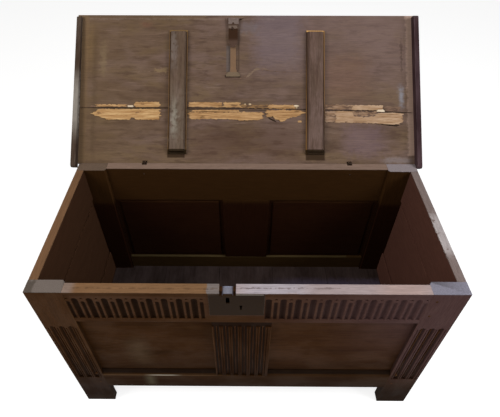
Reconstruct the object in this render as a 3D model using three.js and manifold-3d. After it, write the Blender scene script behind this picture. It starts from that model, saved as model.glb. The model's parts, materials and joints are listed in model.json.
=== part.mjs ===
// Coffer chest of joined oak: a framed and panelled box on four stile feet, with a hinged two-board lid
// that stands open, a hasp and lock of wrought iron, and a carved front.
// Millimetres, X to the right, Y to the back, Z up. The origin is on the floor, under the middle of the
// whole open chest.

import * as THREE from 'three';
import { mergeVertices } from 'three/addons/utils/BufferGeometryUtils.js';
import Module from 'manifold-3d';

// Carcase
const chestWidth = 1220;
const chestDepth = 536;
const chestHeight = 754;
const legHeight = 134;

// Frame members
const stileWidth = 104;
const stileDepth = 40;
const frontRailThickness = 30;
const sideRailThickness = 26;
const frontTopRailHeight = 158;
const frontBottomRailHeight = 120;
const backTopRailHeight = 160;
const backBottomRailHeight = 102;
const sideTopRailHeight = 150;
const sideBottomRailHeight = 145;
const muntinWidth = 179;
const frontMuntinOffset = -15;
const backMuntinOffset = -2;
const edgeChamfer = 3;
const lowerChamferHeight = 27;
const lowerChamferDepth = 11;
const muntinLipOverlap = 4;

// Worn edges of the stiles: the inner back arris, and round the bottoms of the feet
const stileArrisChamfer = 6;
const leftFootArrisChamfer = 15;
const rightFootArrisChamfer = 7;
const footEndChamfer = 4;

// Mortise and tenon joints
const tenonThickness = 10;
const tenonSetback = 12;
const railTenonLength = 45;
const sideTenonLength = 28;
const muntinTenonLength = 32;
const tenonShoulder = 12;
const fitGap = 0.3;

// Panels and their grooves
const panelSetback = 13;
const panelThickness = 10;
const panelTongueThickness = 6;
const panelBevelWidth = 24;
const grooveDepth = 8;

// Floor boards
const floorThickness = 14;
const floorTongueThickness = 8;
const floorRise = 18;
const floorGrooveDepth = 8;
const floorBoardCount = 5;
const floorBoardGap = 1;

// Flutes of the front stiles and the muntin
const flutePitch = 28;
const fluteWidth = 18;
const fluteDepth = 7;
const flutesPerStile = 3;
const flutesPerMuntin = 6;
const filletGrooveWidth = 3.4;
const filletGrooveDepth = 3;
const fluteTopInset = 26;
const fluteFootInset = 22;
const muntinFluteShift = -6;
const muntinBandHeight = 27;
const muntinBandDepth = 4;

// Carved frieze of the front top rail: channels and lobes by turns, from the rail's right end
const friezePitch = 41.6;
const friezeEndInset = 8.3;
const friezeTopInset = 28;
const friezeBottomInset = 21.5;
const channelWidth = 19.5;
const channelDepth = 7;
const lobeHollowWidth = 13;
const lobeHollowDepth = 4.5;
const lobeTopInset = 16;
const gougeWidth = 9;
const gougeHeight = 6;
const gougeDepth = 3.5;

// Lid
const lidThickness = 22;
const lidOverhangFront = 18;
const lidOverhangBack = 6;
const lidOpenDegrees = 136.2;
const lidRestGap = 0.3;
const lidOverhangLeft = 25;
const lidOverhangRight = 18.5;
const lidSeamGap = 1.2;
const lidSeamLeft = 205;
const lidSeamRight = 189;

// Cleats under the lid's ends
const cleatThickness = 17;
const cleatHeight = 28;
const leftCleatFrontHeight = 14;
const cleatRearReach = 18;
const cleatFrontInset = 8;
const cleatCornerRadius = 11;

// Battens under the lid: a plain face on a moulded base that runs round all four sides
const battenWidth = 68;
const battenFaceWidth = 50;
const battenThickness = 20;
const battenBaseThickness = 6;
const battenLedgeWidth = 5;
const battenClearance = 0.6;
const battenFrontGap = 12;
const leftBattenPlace = -256;
const rightBattenPlace = 251;
const rightBattenLean = 6;

// Snipe hinges: interlocked iron loops
const hingeSpread = 373;
const hingeAxisBack = 3;
const hingeAxisDrop = 2;
const hingeRingRadius = 4.4;
const hingeWireRadius = 1.8;
const hingeLegSpread = 4.8;
const hingeLegWidth = 3;
const hingePocketHalfWidth = 9;
const hingePocketReach = 9;
const fixedShankAngle = 35;
const movingShankAngle = 60;
const clenchLength = 1.5;

// Notch in the front rim for the hasp's knuckle
const ironCentre = -53;
const notchWidth = 46;
const notchDepth = 11.5;

// Lock plate
const plateWidth = 156;
const plateHeight = 107;
const plateCentre = -28.5;
const plateTopDrop = 4.5;
const plateThickness = 3;
const plateProud = 2;
const staplePortWidth = 10.5;
const staplePortHeight = 29;
const keyholeOffset = 36.5;
const keyholeDrop = 58.3;
const keyholeRadius = 4.8;
const keyholeSlotWidth = 5;
const keyholeSlotLength = 18;
const plateTabWidth = 26;
const plateTabReach = 24;
const plateTabThickness = 2;

// Lock case, its bolt, spring and key pin
const caseWidth = 102;
const caseHeight = 76;
const caseCentre = -27;
const caseDepth = 19;
const caseWall = 1.6;
const boltHeight = 8;
const boltThickness = 4.5;
const boltTravel = 12;
const boltLength = 64;
const boltTalonWidth = 14;
const boltTalonDrop = 11;
const guideWidth = 6;
const guideThickness = 7;
const springThickness = 1.2;
const springWidth = 5;
const keyPinRadius = 2;

// Hasp, its strap, pin and staple
const haspPlateGap = 0.5;
const knuckleRadius = 5;
const knucklePinRadius = 2;
const strapWidth = 22;
const strapThickness = 4;
const strapLength = 218;
const strapFootWidth = 53;
const strapFootLength = 14;
const strapKnuckleWidth = 17;
const haspKnuckleWidth = 11.5;
const haspLength = 104;
const haspThickness = 3.5;
const haspEndWidth = 34;
const haspLipRise = 7;
const stapleWireRadius = 2.5;
const stapleLoopRadius = 10;
const stapleLegLength = 4;
const stapleCentreDrop = 28;
const stapleHeadRadius = 4;
const stapleHeadHeight = 1;

// Finishes
const oak = new THREE.MeshStandardMaterial({ color: 0x4a2f20, roughness: 0.55, metalness: 0 });
const wornOak = new THREE.MeshStandardMaterial({ color: 0x6b4c36, roughness: 0.7, metalness: 0 });
const darkOak = new THREE.MeshStandardMaterial({ color: 0x35231a, roughness: 0.6, metalness: 0 });
const dryOak = new THREE.MeshStandardMaterial({ color: 0x5e5148, roughness: 0.85, metalness: 0 });
const wroughtIron = new THREE.MeshStandardMaterial({ color: 0x2a2724, roughness: 0.5, metalness: 0.8 });

// Solids

const wasm = await Module();
wasm.setup();

const cutRun = 20;
const mergeDistance = 1e-4;
const arcSteps = 6;
const roundSides = 20;
const wireSides = 8;

function solidOf(geometry) {
  geometry.deleteAttribute('normal');
  geometry.deleteAttribute('uv');
  const merged = mergeVertices(geometry, mergeDistance);
  return new wasm.Manifold(
    new wasm.Mesh({
      numProp: 3,
      vertProperties: new Float32Array(merged.attributes.position.array),
      triVerts: new Uint32Array(merged.index.array),
    }),
  );
}

function geometryOf(solid) {
  const mesh = solid.getMesh();
  const geometry = new THREE.BufferGeometry();
  geometry.setAttribute('position', new THREE.BufferAttribute(new Float32Array(mesh.vertProperties), 3));
  geometry.setIndex(new THREE.BufferAttribute(new Uint32Array(mesh.triVerts), 1));
  return geometry;
}

// The range between two places, whichever is the lower
function between(a, b) {
  return [Math.min(a, b), Math.max(a, b)];
}

// The range that reaches equally far to both sides of a place
function about(middle, half) {
  return [middle - half, middle + half];
}

function block([x0, x1], [y0, y1], [z0, z1]) {
  const geometry = new THREE.BoxGeometry(x1 - x0, y1 - y0, z1 - z0);
  geometry.translate((x0 + x1) / 2, (y0 + y1) / 2, (z0 + z1) / 2);
  return solidOf(geometry);
}

const axisX = new THREE.Vector3(1, 0, 0);
const axisY = new THREE.Vector3(0, 1, 0);
const axisZ = new THREE.Vector3(0, 0, 1);

function extruded(points, from, to, basis) {
  const shape = new THREE.Shape(points.map(([a, b]) => new THREE.Vector2(a, b)));
  const geometry = new THREE.ExtrudeGeometry(shape, { depth: to - from, bevelEnabled: false });
  geometry.translate(0, 0, from);
  geometry.applyMatrix4(basis);
  return solidOf(geometry);
}

// Profile points are (y, z), run along X
function prismX(points, from, to) {
  return extruded(points, from, to, new THREE.Matrix4().makeBasis(axisY, axisZ, axisX));
}

// Profile points are (x, z), run along Y
function prismY(points, from, to) {
  const turned = points.map(([x, z]) => [z, x]);
  return extruded(turned, from, to, new THREE.Matrix4().makeBasis(axisZ, axisX, axisY));
}

// Profile points are (x, y), run along Z
function prismZ(points, from, to) {
  return extruded(points, from, to, new THREE.Matrix4());
}

// A turned solid round an upright axis at (x, y), from (radius, z) points
function turned(points, x, y, sides = roundSides) {
  const geometry = new THREE.LatheGeometry(points.map(([r, z]) => new THREE.Vector2(r, z)), sides);
  geometry.rotateX(Math.PI / 2);
  geometry.translate(x, y, 0);
  return solidOf(geometry);
}

// An upright round bar at (x, y)
function barZ(x, y, from, to, radius, sides = roundSides) {
  return turned([[0, from], [radius, from], [radius, to], [0, to]], x, y, sides);
}

// A round bar along X
function barX(from, to, y, z, radius, sides = roundSides) {
  const geometry = new THREE.CylinderGeometry(radius, radius, to - from, sides);
  geometry.rotateZ(Math.PI / 2);
  geometry.translate((from + to) / 2, y, z);
  return solidOf(geometry);
}

// A round bar along Y
function barY(x, from, to, z, radius, sides = roundSides) {
  const geometry = new THREE.CylinderGeometry(radius, radius, to - from, sides);
  geometry.translate(x, (from + to) / 2, z);
  return solidOf(geometry);
}

function arcPoints(cx, cy, radius, fromDegrees, toDegrees, steps = arcSteps) {
  const points = [];
  for (let i = 0; i <= steps; i += 1) {
    const angle = THREE.MathUtils.degToRad(fromDegrees + ((toDegrees - fromDegrees) * i) / steps);
    points.push([cx + radius * Math.cos(angle), cy + radius * Math.sin(angle)]);
  }
  return points;
}

function joined(...solids) {
  return solids.reduce((whole, solid) => whole.add(solid));
}

function cutBy(solid, cutters) {
  return cutters.reduce((whole, cutter) => whole.subtract(cutter), solid);
}

function meshOf(name, solid, material) {
  const mesh = new THREE.Mesh(geometryOf(solid), material);
  mesh.name = name;
  return mesh;
}

// The corner that a chamfer takes off, with overrun: signs say to which side the material lies
function chamferCorner(a, b, size, signA, signB) {
  return [
    [a - signA * cutRun, b - signB * cutRun],
    [a + signA * (size + cutRun), b - signB * cutRun],
    [a - signA * cutRun, b + signB * (size + cutRun)],
  ];
}

// Shared places. Each wall of the chest is framed in its own coordinates: u runs along the wall, v goes
// inward from its outer face, and z is up.
const stileInner = chestWidth / 2 - stileWidth;
const sideInner = chestDepth / 2 - stileDepth;
const rimZ = chestHeight;
const axisWorldY = chestDepth / 2 + hingeAxisBack;
const axisWorldZ = chestHeight - hingeAxisDrop;
const underside = hingeAxisDrop + lidRestGap;
const lidTop = underside + lidThickness;
const frontFaceReach = chestDepth + hingeAxisBack;
const lidFrontReach = frontFaceReach + lidOverhangFront;
const lidRearReach = lidOverhangBack - hingeAxisBack;
const lidLeft = -chestWidth / 2 - lidOverhangLeft;
const lidRight = chestWidth / 2 + lidOverhangRight;

const frontWall = {
  reach: stileInner,
  thickness: frontRailThickness,
  tenonLength: railTenonLength,
  bottomTop: legHeight + frontBottomRailHeight,
  topBottom: rimZ - frontTopRailHeight,
};
const backWall = {
  reach: stileInner,
  thickness: frontRailThickness,
  tenonLength: railTenonLength,
  bottomTop: legHeight + backBottomRailHeight,
  topBottom: rimZ - backTopRailHeight,
};
const sideWall = {
  reach: sideInner,
  thickness: sideRailThickness,
  tenonLength: sideTenonLength,
  bottomTop: legHeight + sideBottomRailHeight,
  topBottom: rimZ - sideTopRailHeight,
};

// The depth range of a tenon or a panel tongue, and of the room cut for it
const tenonDepth = [tenonSetback, tenonSetback + tenonThickness];
const mortiseDepth = [tenonSetback - fitGap, tenonSetback + tenonThickness + fitGap];
const grooveRange = [panelSetback - fitGap, panelSetback + panelTongueThickness + fitGap];

// Frame members

function railRange(wall, place) {
  return place === 'top' ? [wall.topBottom, rimZ] : [legHeight, wall.bottomTop];
}

function tenonRange(wall, place) {
  const [low, high] = railRange(wall, place);
  return [low + tenonShoulder, high - tenonShoulder];
}

function rail(wall, place) {
  const [low, high] = railRange(wall, place);
  const end = wall.reach - fitGap;
  const tenonEnd = wall.reach + wall.tenonLength;
  const body = block(about(0, end), [0, wall.thickness], [low, high]);
  const tenon = block(about(0, tenonEnd), tenonDepth, tenonRange(wall, place));
  const isTop = place === 'top';
  const edge = isTop ? [low - cutRun, low + grooveDepth] : [high - grooveDepth, high + cutRun];
  const groove = block(about(0, wall.reach + cutRun), grooveRange, edge);
  const arrisZ = isTop ? low : high;
  const arris = prismX(chamferCorner(0, arrisZ, edgeChamfer, 1, isTop ? 1 : -1), -end - cutRun, end + cutRun);
  return joined(body, tenon).subtract(groove).subtract(arris);
}

function muntinMortise(wall, place, centre) {
  const half = muntinWidth / 2 - tenonShoulder + fitGap;
  const isTop = place === 'top';
  const edge = isTop ? wall.topBottom : wall.bottomTop;
  const depth = muntinTenonLength + fitGap;
  const upright = isTop ? [edge - cutRun, edge + depth] : [edge - depth, edge + cutRun];
  return block(about(centre, half), mortiseDepth, upright);
}

function muntin(wall, centre) {
  const low = wall.bottomTop + fitGap;
  const high = wall.topBottom - fitGap;
  const half = muntinWidth / 2;
  const body = block(about(centre, half), [0, wall.thickness], [low, high]);
  const tenon = block(about(centre, half - tenonShoulder), tenonDepth, [
    wall.bottomTop - muntinTenonLength,
    wall.topBottom + muntinTenonLength,
  ]);
  const grooves = [-1, 1].map((side) => {
    const edge = centre + side * half;
    const across = between(edge - side * grooveDepth, edge + side * cutRun);
    return block(across, grooveRange, [low - cutRun, high + cutRun]);
  });
  return joined(cutBy(body, grooves), tenon);
}

// The front bottom rail's long sloped arris, and the muntin's lip that laps down over it
const lowerArrisZ = frontWall.bottomTop - lowerChamferHeight;

function lowerChamfer() {
  const slope = lowerChamferHeight / lowerChamferDepth;
  const outline = [
    [-cutRun, lowerArrisZ - slope * cutRun],
    [lowerChamferDepth + cutRun, frontWall.bottomTop + slope * cutRun],
    [-cutRun, frontWall.bottomTop + slope * cutRun],
  ];
  return prismX(outline, -stileInner - cutRun, stileInner + cutRun);
}

function muntinLip(gap) {
  return block(
    about(frontMuntinOffset, muntinWidth / 2 + gap),
    [-gap, lowerChamferDepth - fitGap + gap],
    [lowerArrisZ + fitGap - gap, frontWall.bottomTop + muntinLipOverlap],
  );
}

// A panel is thinned to its tongue all round, behind a slope
function panel(wall, uFrom, uTo) {
  const slack = fitGap * 2;
  const left = uFrom - grooveDepth + slack;
  const right = uTo + grooveDepth - slack;
  const low = wall.bottomTop - grooveDepth + slack;
  const high = wall.topBottom + grooveDepth - slack;
  const tongue = panelSetback + panelTongueThickness;
  const back = panelSetback + panelThickness;
  const far = chestWidth;
  const board = block([left, right], [panelSetback, back], [low, high]);
  const thinned = (edge, side) => [
    [edge - side * cutRun, tongue],
    [edge + side * panelBevelWidth, tongue],
    [edge + side * panelBevelWidth, back],
    [edge + side * (panelBevelWidth + panelThickness), back + panelThickness],
    [edge - side * cutRun, back + panelThickness],
  ];
  const across = (edge, side) => prismZ(thinned(edge, side), -far, far);
  const along = (edge, side) => prismX(thinned(edge, side).map(([z, y]) => [y, z]), -far, far);
  return cutBy(board, [across(left, 1), across(right, -1), along(low, 1), along(high, -1)]);
}

// The worn bottom arrises of a foot, and its worn inner back arris below the rails
function footWear(side, arrisChamfer) {
  const inner = side * stileInner;
  const outer = (side * chestWidth) / 2;
  const across = between(side * (stileInner - cutRun), side * (chestWidth / 2 + cutRun));
  const along = [-cutRun, stileDepth + cutRun];
  return [
    prismX(chamferCorner(0, 0, footEndChamfer, 1, 1), ...across),
    prismX(chamferCorner(stileDepth, 0, footEndChamfer, -1, 1), ...across),
    prismY(chamferCorner(inner, 0, footEndChamfer, side, 1), ...along),
    prismY(chamferCorner(outer, 0, footEndChamfer, -side, 1), ...along),
    prismZ(chamferCorner(inner, stileDepth, arrisChamfer, side, -1), -cutRun, legHeight - footEndChamfer),
  ];
}

// A stile at either end of a wall, with mortise and groove room for the wall's rails and the side's
function stile(wall, side, footArris) {
  const outer = chestWidth / 2;
  const span = (from, to) => between(side * from, side * to);
  const body = block(span(stileInner, outer), [0, stileDepth], [0, rimZ]);
  const wallEnd = span(stileInner - cutRun, stileInner + wall.tenonLength + fitGap);
  const sideAcross = (range) => span(outer - range[1], outer - range[0]);
  const backward = (depth) => [stileDepth - depth, stileDepth + cutRun];
  const cutters = [
    block(span(stileInner - cutRun, stileInner + grooveDepth), grooveRange, [
      wall.bottomTop - grooveDepth,
      wall.topBottom + grooveDepth,
    ]),
    block(sideAcross(grooveRange), backward(grooveDepth), [
      sideWall.bottomTop - grooveDepth,
      sideWall.topBottom + grooveDepth,
    ]),
    prismZ(chamferCorner(side * stileInner, stileDepth, stileArrisChamfer, side, -1), -cutRun, rimZ + cutRun),
    ...footWear(side, footArris),
  ];
  for (const place of ['top', 'bottom']) {
    const [low, high] = tenonRange(wall, place);
    cutters.push(block(wallEnd, mortiseDepth, [low - fitGap, high + fitGap]));
    const [sideLow, sideHigh] = tenonRange(sideWall, place);
    const sideRoom = backward(sideTenonLength + fitGap);
    cutters.push(block(sideAcross(mortiseDepth), sideRoom, [sideLow - fitGap, sideHigh + fitGap]));
  }
  return cutBy(body, cutters);
}

// Carving

// A gouge-cut hollow on the outer face: round in section, with a round or a square top and a flat foot
function hollow(u, low, high, width, depth, roundTop = true) {
  const radius = (width * width) / (8 * depth) + depth / 2;
  const points = [[0, low], [radius, low]];
  if (roundTop) {
    const start = high - width / 2;
    for (let i = 0; i < arcSteps; i += 1) {
      const angle = (Math.PI / 2) * (i / arcSteps);
      points.push([radius * Math.cos(angle), start + (width / 2) * Math.sin(angle)]);
    }
    points.push([0, high]);
  } else {
    points.push([radius, high], [0, high]);
  }
  return turned(points, u, depth - radius);
}

// The V groove between two fillets
function filletGroove(u, low, high) {
  const slope = filletGrooveWidth / 2 / filletGrooveDepth;
  const half = slope * (filletGrooveDepth + cutRun);
  return prismZ([[u - half, -cutRun], [u + half, -cutRun], [u, filletGrooveDepth]], low, high);
}

// A row of flutes with grooves between them and beside the outer ones, kept within the member's face
function flutes(centre, count, face, low, high, roundTop) {
  const cutters = [];
  for (let i = 0; i < count; i += 1) {
    const u = centre + (i - (count - 1) / 2) * flutePitch;
    cutters.push(hollow(u, low, high, fluteWidth, fluteDepth, roundTop));
  }
  const grooveHigh = roundTop ? high - fluteWidth / 2 : high;
  for (let i = 0; i <= count; i += 1) {
    const u = centre + (i - count / 2) * flutePitch;
    if (u - filletGrooveWidth > face[0] && u + filletGrooveWidth < face[1]) {
      cutters.push(filletGroove(u, low, grooveHigh));
    }
  }
  return cutters;
}

const friezeLow = frontWall.topBottom + friezeBottomInset;
const friezeHigh = rimZ - friezeTopInset;

// Lobes stand at whole pitches from the rail's right end, each with a hollow and a gouge cut over it, and
// channels stand halfway between them. None is cut where the lock plate lies.
function friezeCutters() {
  const count = Math.floor((2 * stileInner - friezeEndInset) / friezePitch);
  const covered = about(plateCentre, plateWidth / 2);
  const clear = (u, half) => u + half < covered[0] || u - half > covered[1];
  const cutters = [];
  for (let i = 0; i <= count; i += 1) {
    const lobe = stileInner - friezeEndInset - i * friezePitch;
    const channel = lobe - friezePitch / 2;
    if (clear(lobe, lobeHollowWidth / 2)) {
      cutters.push(hollow(lobe, friezeLow, friezeHigh - lobeTopInset, lobeHollowWidth, lobeHollowDepth));
      cutters.push(hollow(lobe, friezeHigh - gougeHeight, friezeHigh, gougeWidth, gougeDepth));
    }
    if (i < count && clear(channel, channelWidth / 2)) {
      cutters.push(hollow(channel, friezeLow, friezeHigh, channelWidth, channelDepth));
    }
  }
  return cutters;
}

// Lock places, in the front wall's coordinates
const plateTop = rimZ - plateTopDrop;
const plateBack = plateThickness - plateProud;
const haspInner = -knuckleRadius + haspThickness;
const haspAxisY = -(frontFaceReach + plateProud + haspPlateGap + haspInner);
const haspAxisZ = underside - lidRestGap - knuckleRadius;
const haspAxisClosedZ = axisWorldZ + haspAxisZ;
const boltZ = haspAxisClosedZ - stapleCentreDrop;
const portRange = about(boltZ, staplePortHeight / 2);
const caseLow = portRange[1] + caseWall + fitGap * 4 - caseHeight;
const caseHigh = caseLow + caseHeight;
const keyholeU = ironCentre + keyholeOffset;
const keyholeZ = plateTop - keyholeDrop;

function notch() {
  return block(
    about(ironCentre, notchWidth / 2),
    [-cutRun, frontRailThickness + cutRun],
    [rimZ - notchDepth, rimZ + cutRun],
  );
}

// The tab that bends back from the plate over the notch's floor
function tabRoom(gap) {
  const floor = rimZ - notchDepth;
  return block(
    about(ironCentre, plateTabWidth / 2 + gap),
    [-plateProud, plateTabReach + gap],
    [floor - plateTabThickness - gap, floor],
  );
}

function frontTopRail() {
  const plateRoom = block(
    about(plateCentre, plateWidth / 2 + fitGap),
    [-cutRun, plateBack + fitGap],
    [plateTop - plateHeight - fitGap, plateTop + fitGap],
  );
  const caseRoom = block(
    about(caseCentre, caseWidth / 2 + fitGap),
    [-cutRun, plateBack + caseDepth + fitGap * 2],
    [caseLow - fitGap, caseHigh + fitGap],
  );
  return cutBy(rail(frontWall, 'top'), [
    muntinMortise(frontWall, 'top', frontMuntinOffset),
    ...friezeCutters(),
    plateRoom,
    caseRoom,
    tabRoom(fitGap),
    notch(),
  ]);
}

function lockPlate() {
  const across = about(plateCentre, plateWidth / 2);
  const through = [-cutRun, cutRun];
  const sheet = block(across, [-plateProud, plateBack], [plateTop - plateHeight, plateTop]);
  const port = block(about(ironCentre, staplePortWidth / 2), through, portRange);
  const keyRound = barY(keyholeU, ...through, keyholeZ, keyholeRadius);
  const slotRange = [keyholeZ - keyholeSlotLength, keyholeZ];
  const keySlot = block(about(keyholeU, keyholeSlotWidth / 2), through, slotRange);
  return cutBy(joined(sheet.subtract(notch()), tabRoom(0)), [port, keyRound, keySlot]);
}

const caseFront = plateBack + fitGap;
const caseBack = plateBack + caseDepth + fitGap;
const boltFront = plateBack + fitGap * 2;
const boltRange = [boltFront, boltFront + boltThickness];
const boltLow = boltZ - boltHeight / 2;
const boltHigh = boltZ + boltHeight / 2;
const boltRestTip = ironCentre + staplePortWidth / 2 + fitGap * 2;
const boltTail = boltRestTip + boltLength;
const guidePlaces = [boltRestTip + fitGap, boltTail - boltTravel - guideWidth];

function lockCase() {
  const outside = about(caseCentre, caseWidth / 2);
  const inside = about(caseCentre, caseWidth / 2 - caseWall);
  const within = [caseLow + caseWall, caseHigh - caseWall];
  const shell = block(outside, [caseFront, caseBack], [caseLow, caseHigh]).subtract(
    block(inside, [caseFront - cutRun, caseBack - caseWall], within),
  );
  const guideBack = caseBack - caseWall / 2;
  const guideTop = boltLow - fitGap;
  const guides = guidePlaces.map((place) => {
    const across = [place, place + guideWidth];
    const under = block(across, [caseFront, guideBack], [guideTop - guideThickness, guideTop]);
    const behind = block(across, [boltRange[1] + fitGap, guideBack], [guideTop - guideThickness, boltHigh]);
    return under.add(behind);
  });
  return joined(shell, ...guides);
}

function lockBolt() {
  const bar = block([boltRestTip, boltTail], boltRange, [boltLow, boltHigh]);
  const talonLow = boltLow - boltTalonDrop;
  const talon = block(about(keyholeU, boltTalonWidth / 2), boltRange, [talonLow, boltLow]);
  const bite = block(
    about(keyholeU, boltTalonWidth / 4),
    [-cutRun, cutRun],
    [talonLow - cutRun, talonLow + boltTalonDrop / 2],
  );
  return bar.add(talon).subtract(bite);
}

// A leaf that bows down on to the bolt from the top of the case
function lockSpring() {
  const top = caseHigh - caseWall - fitGap;
  const from = boltRestTip + guideWidth;
  const run = boltTail - guideWidth - from;
  const low = boltHigh + fitGap;
  const rise = top - springThickness - low;
  const steps = arcSteps * 2;
  const lower = [];
  const upper = [];
  for (let i = 0; i <= steps; i += 1) {
    const share = i / steps;
    const sag = low + rise * Math.abs(2 * share - 1) ** 1.5;
    lower.push([from + run * share, sag]);
    upper.unshift([from + run * share, sag + springThickness]);
  }
  const middle = (boltRange[0] + boltRange[1]) / 2;
  return prismY([...lower, ...upper], middle - springWidth / 2 + fitGap, middle + springWidth / 2);
}

function keyPin() {
  return barY(keyholeU, caseFront, caseBack - caseWall - fitGap, keyholeZ, keyPinRadius, wireSides);
}

function frontBottomRail() {
  return cutBy(rail(frontWall, 'bottom'), [
    muntinMortise(frontWall, 'bottom', frontMuntinOffset),
    floorGroove(frontWall),
    lowerChamfer(),
    muntinLip(fitGap),
  ]);
}

// The muntin's flutes run down over its lip, and up into a sunk band below the top rail
function frontMuntin() {
  const body = muntin(frontWall, frontMuntinOffset).add(muntinLip(0));
  const face = about(frontMuntinOffset, muntinWidth / 2);
  const bandLow = frontWall.topBottom - muntinBandHeight;
  const band = block(
    [face[0] - cutRun, face[1] + cutRun],
    [-cutRun, muntinBandDepth],
    [bandLow, frontWall.topBottom + cutRun],
  );
  const centre = frontMuntinOffset + muntinFluteShift;
  return cutBy(body, [band, ...flutes(centre, flutesPerMuntin, face, lowerArrisZ - cutRun, bandLow, false)]);
}

function frontStile(side, footArris) {
  const face = between(side * stileInner, (side * chestWidth) / 2);
  const centre = (face[0] + face[1]) / 2;
  const low = lowerArrisZ - fluteFootInset;
  const high = frontWall.topBottom - fluteTopInset;
  return cutBy(stile(frontWall, side, footArris), flutes(centre, flutesPerStile, face, low, high, true));
}

// Hinge loops

function ring() {
  const points = [];
  for (let i = 0; i <= wireSides; i += 1) {
    const angle = (2 * Math.PI * i) / wireSides;
    points.push([hingeRingRadius + hingeWireRadius * Math.cos(angle), hingeWireRadius * Math.sin(angle)]);
  }
  points[wireSides] = [...points[0]];
  const geometry = new THREE.LatheGeometry(points.map(([r, z]) => new THREE.Vector2(r, z)), roundSides);
  geometry.rotateZ(Math.PI / 2);
  return solidOf(geometry);
}

// A square bar that leaves the hinge axis at an angle above the forward direction
function shank(x, size, from, to, degrees) {
  const geometry = new THREE.BoxGeometry(size, to - from, size);
  geometry.translate(x, -(from + to) / 2, 0);
  geometry.rotateX(-THREE.MathUtils.degToRad(degrees));
  return solidOf(geometry);
}

const fixedShankRun =
  (frontRailThickness + hingeAxisBack + clenchLength) / Math.cos(THREE.MathUtils.degToRad(fixedShankAngle));
const movingShankRun = (lidTop + clenchLength) / Math.sin(THREE.MathUtils.degToRad(movingShankAngle));

function fixedLoop() {
  return ring().add(shank(0, 2 * hingeWireRadius, hingeRingRadius, fixedShankRun, -fixedShankAngle));
}

function movingLoop() {
  const half = hingeLegWidth / 2;
  const cross = block(about(0, hingeLegSpread + half), about(0, half), about(0, half));
  const legs = [-1, 1].map((side) => {
    return shank(side * hingeLegSpread, hingeLegWidth, 0, movingShankRun, movingShankAngle);
  });
  return joined(cross, ...legs);
}

// Room for a loop in the back rail, in world places
function fixedLoopRoom(x) {
  const pocket = block(
    about(x, hingePocketHalfWidth),
    [chestDepth / 2 - hingePocketReach, chestDepth / 2 + cutRun],
    [axisWorldZ - hingePocketReach, rimZ + cutRun],
  );
  const wide = 2 * (hingeWireRadius + fitGap);
  const bore = shank(0, wide, 0, fixedShankRun + cutRun, -fixedShankAngle);
  return pocket.add(bore.translate([x, axisWorldY, axisWorldZ]));
}

// Room for a loop in the lid's back board, in the lid's places
function movingLoopRoom(x) {
  const pocket = block(
    about(x, hingePocketHalfWidth),
    [-hingePocketReach, lidRearReach + cutRun],
    [underside - cutRun, hingePocketReach],
  );
  const wide = hingeLegWidth + 2 * fitGap;
  const bores = [-1, 1].map((side) => {
    return shank(x + side * hingeLegSpread, wide, 0, movingShankRun + cutRun, movingShankAngle);
  });
  return joined(pocket, ...bores);
}

// Lid, in places measured from the hinge axis with the lid shut

function seamReach(x) {
  const share = (x - lidLeft) / (lidRight - lidLeft);
  return lidSeamLeft + (lidSeamRight - lidSeamLeft) * share;
}

// A lid board between the seam, on its given side, and an outer edge
function lidBoard(seamSide, edge) {
  const seam = (x) => -seamReach(x) + (seamSide * lidSeamGap) / 2;
  const outline = [
    [lidLeft, edge],
    [lidRight, edge],
    [lidRight, seam(lidRight)],
    [lidLeft, seam(lidLeft)],
  ];
  return prismZ(seamSide > 0 ? outline : outline.reverse(), underside, lidTop);
}

function lidBackBoard() {
  return cutBy(lidBoard(1, lidRearReach), [movingLoopRoom(-hingeSpread), movingLoopRoom(hingeSpread)]);
}

// The bed that takes the staple when the hasp is folded back
function stapleBed() {
  const reach = stapleLoopRadius + stapleWireRadius + fitGap * 2;
  const tip = haspAxisZ + haspInner + stapleLegLength + stapleLoopRadius + stapleWireRadius;
  return block(
    about(ironCentre, staplePortWidth / 2),
    about(haspAxisY + stapleCentreDrop, reach),
    [underside - cutRun, tip + fitGap],
  );
}

function lidFrontBoard() {
  return lidBoard(-1, -lidFrontReach).subtract(stapleBed());
}

function cleat(side, frontHeight) {
  const outer = side > 0 ? lidRight : lidLeft;
  const top = underside - fitGap;
  const rearLow = top - cleatHeight;
  const frontLow = top - frontHeight;
  const rear = cleatRearReach;
  const front = -lidFrontReach + cleatFrontInset;
  const r = cleatCornerRadius;
  const outline = [
    [rear, top],
    ...arcPoints(rear - r, rearLow + r, r, 0, -90),
    ...arcPoints(front + r, frontLow + r, r, -90, -180),
    [front, top],
  ];
  return prismX(outline, ...between(outer, outer - side * cleatThickness));
}

// A batten's moulded section, on a base of a given half width
function battenSection(from, to) {
  const top = underside - fitGap;
  const baseLow = top - battenBaseThickness;
  const low = top - battenThickness;
  const moulding = (battenWidth - battenFaceWidth) / 2;
  return [
    [from, top],
    [from, baseLow],
    [from + battenLedgeWidth, baseLow],
    [from + moulding, low],
    [to - moulding, low],
    [to - battenLedgeWidth, baseLow],
    [to, baseLow],
    [to, top],
  ];
}

// The battens keep clear of both rims when the lid is shut
function batten(place, lean) {
  const rear = -(hingeAxisBack + frontRailThickness + battenClearance);
  const front = -(frontFaceReach - frontRailThickness - battenFrontGap);
  const across = about(place, battenWidth / 2);
  const bar = prismY(battenSection(...across), front, rear).intersect(
    prismX(battenSection(front, rear), ...across),
  );
  const angle = THREE.MathUtils.radToDeg(Math.atan2(lean, rear - front));
  const middle = (front + rear) / 2;
  return bar.translate([-place, -middle, 0]).rotate([0, 0, angle]).translate([place, middle, 0]);
}

// Hasp and strap, in places measured from the hinge axis with the lid shut

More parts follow.
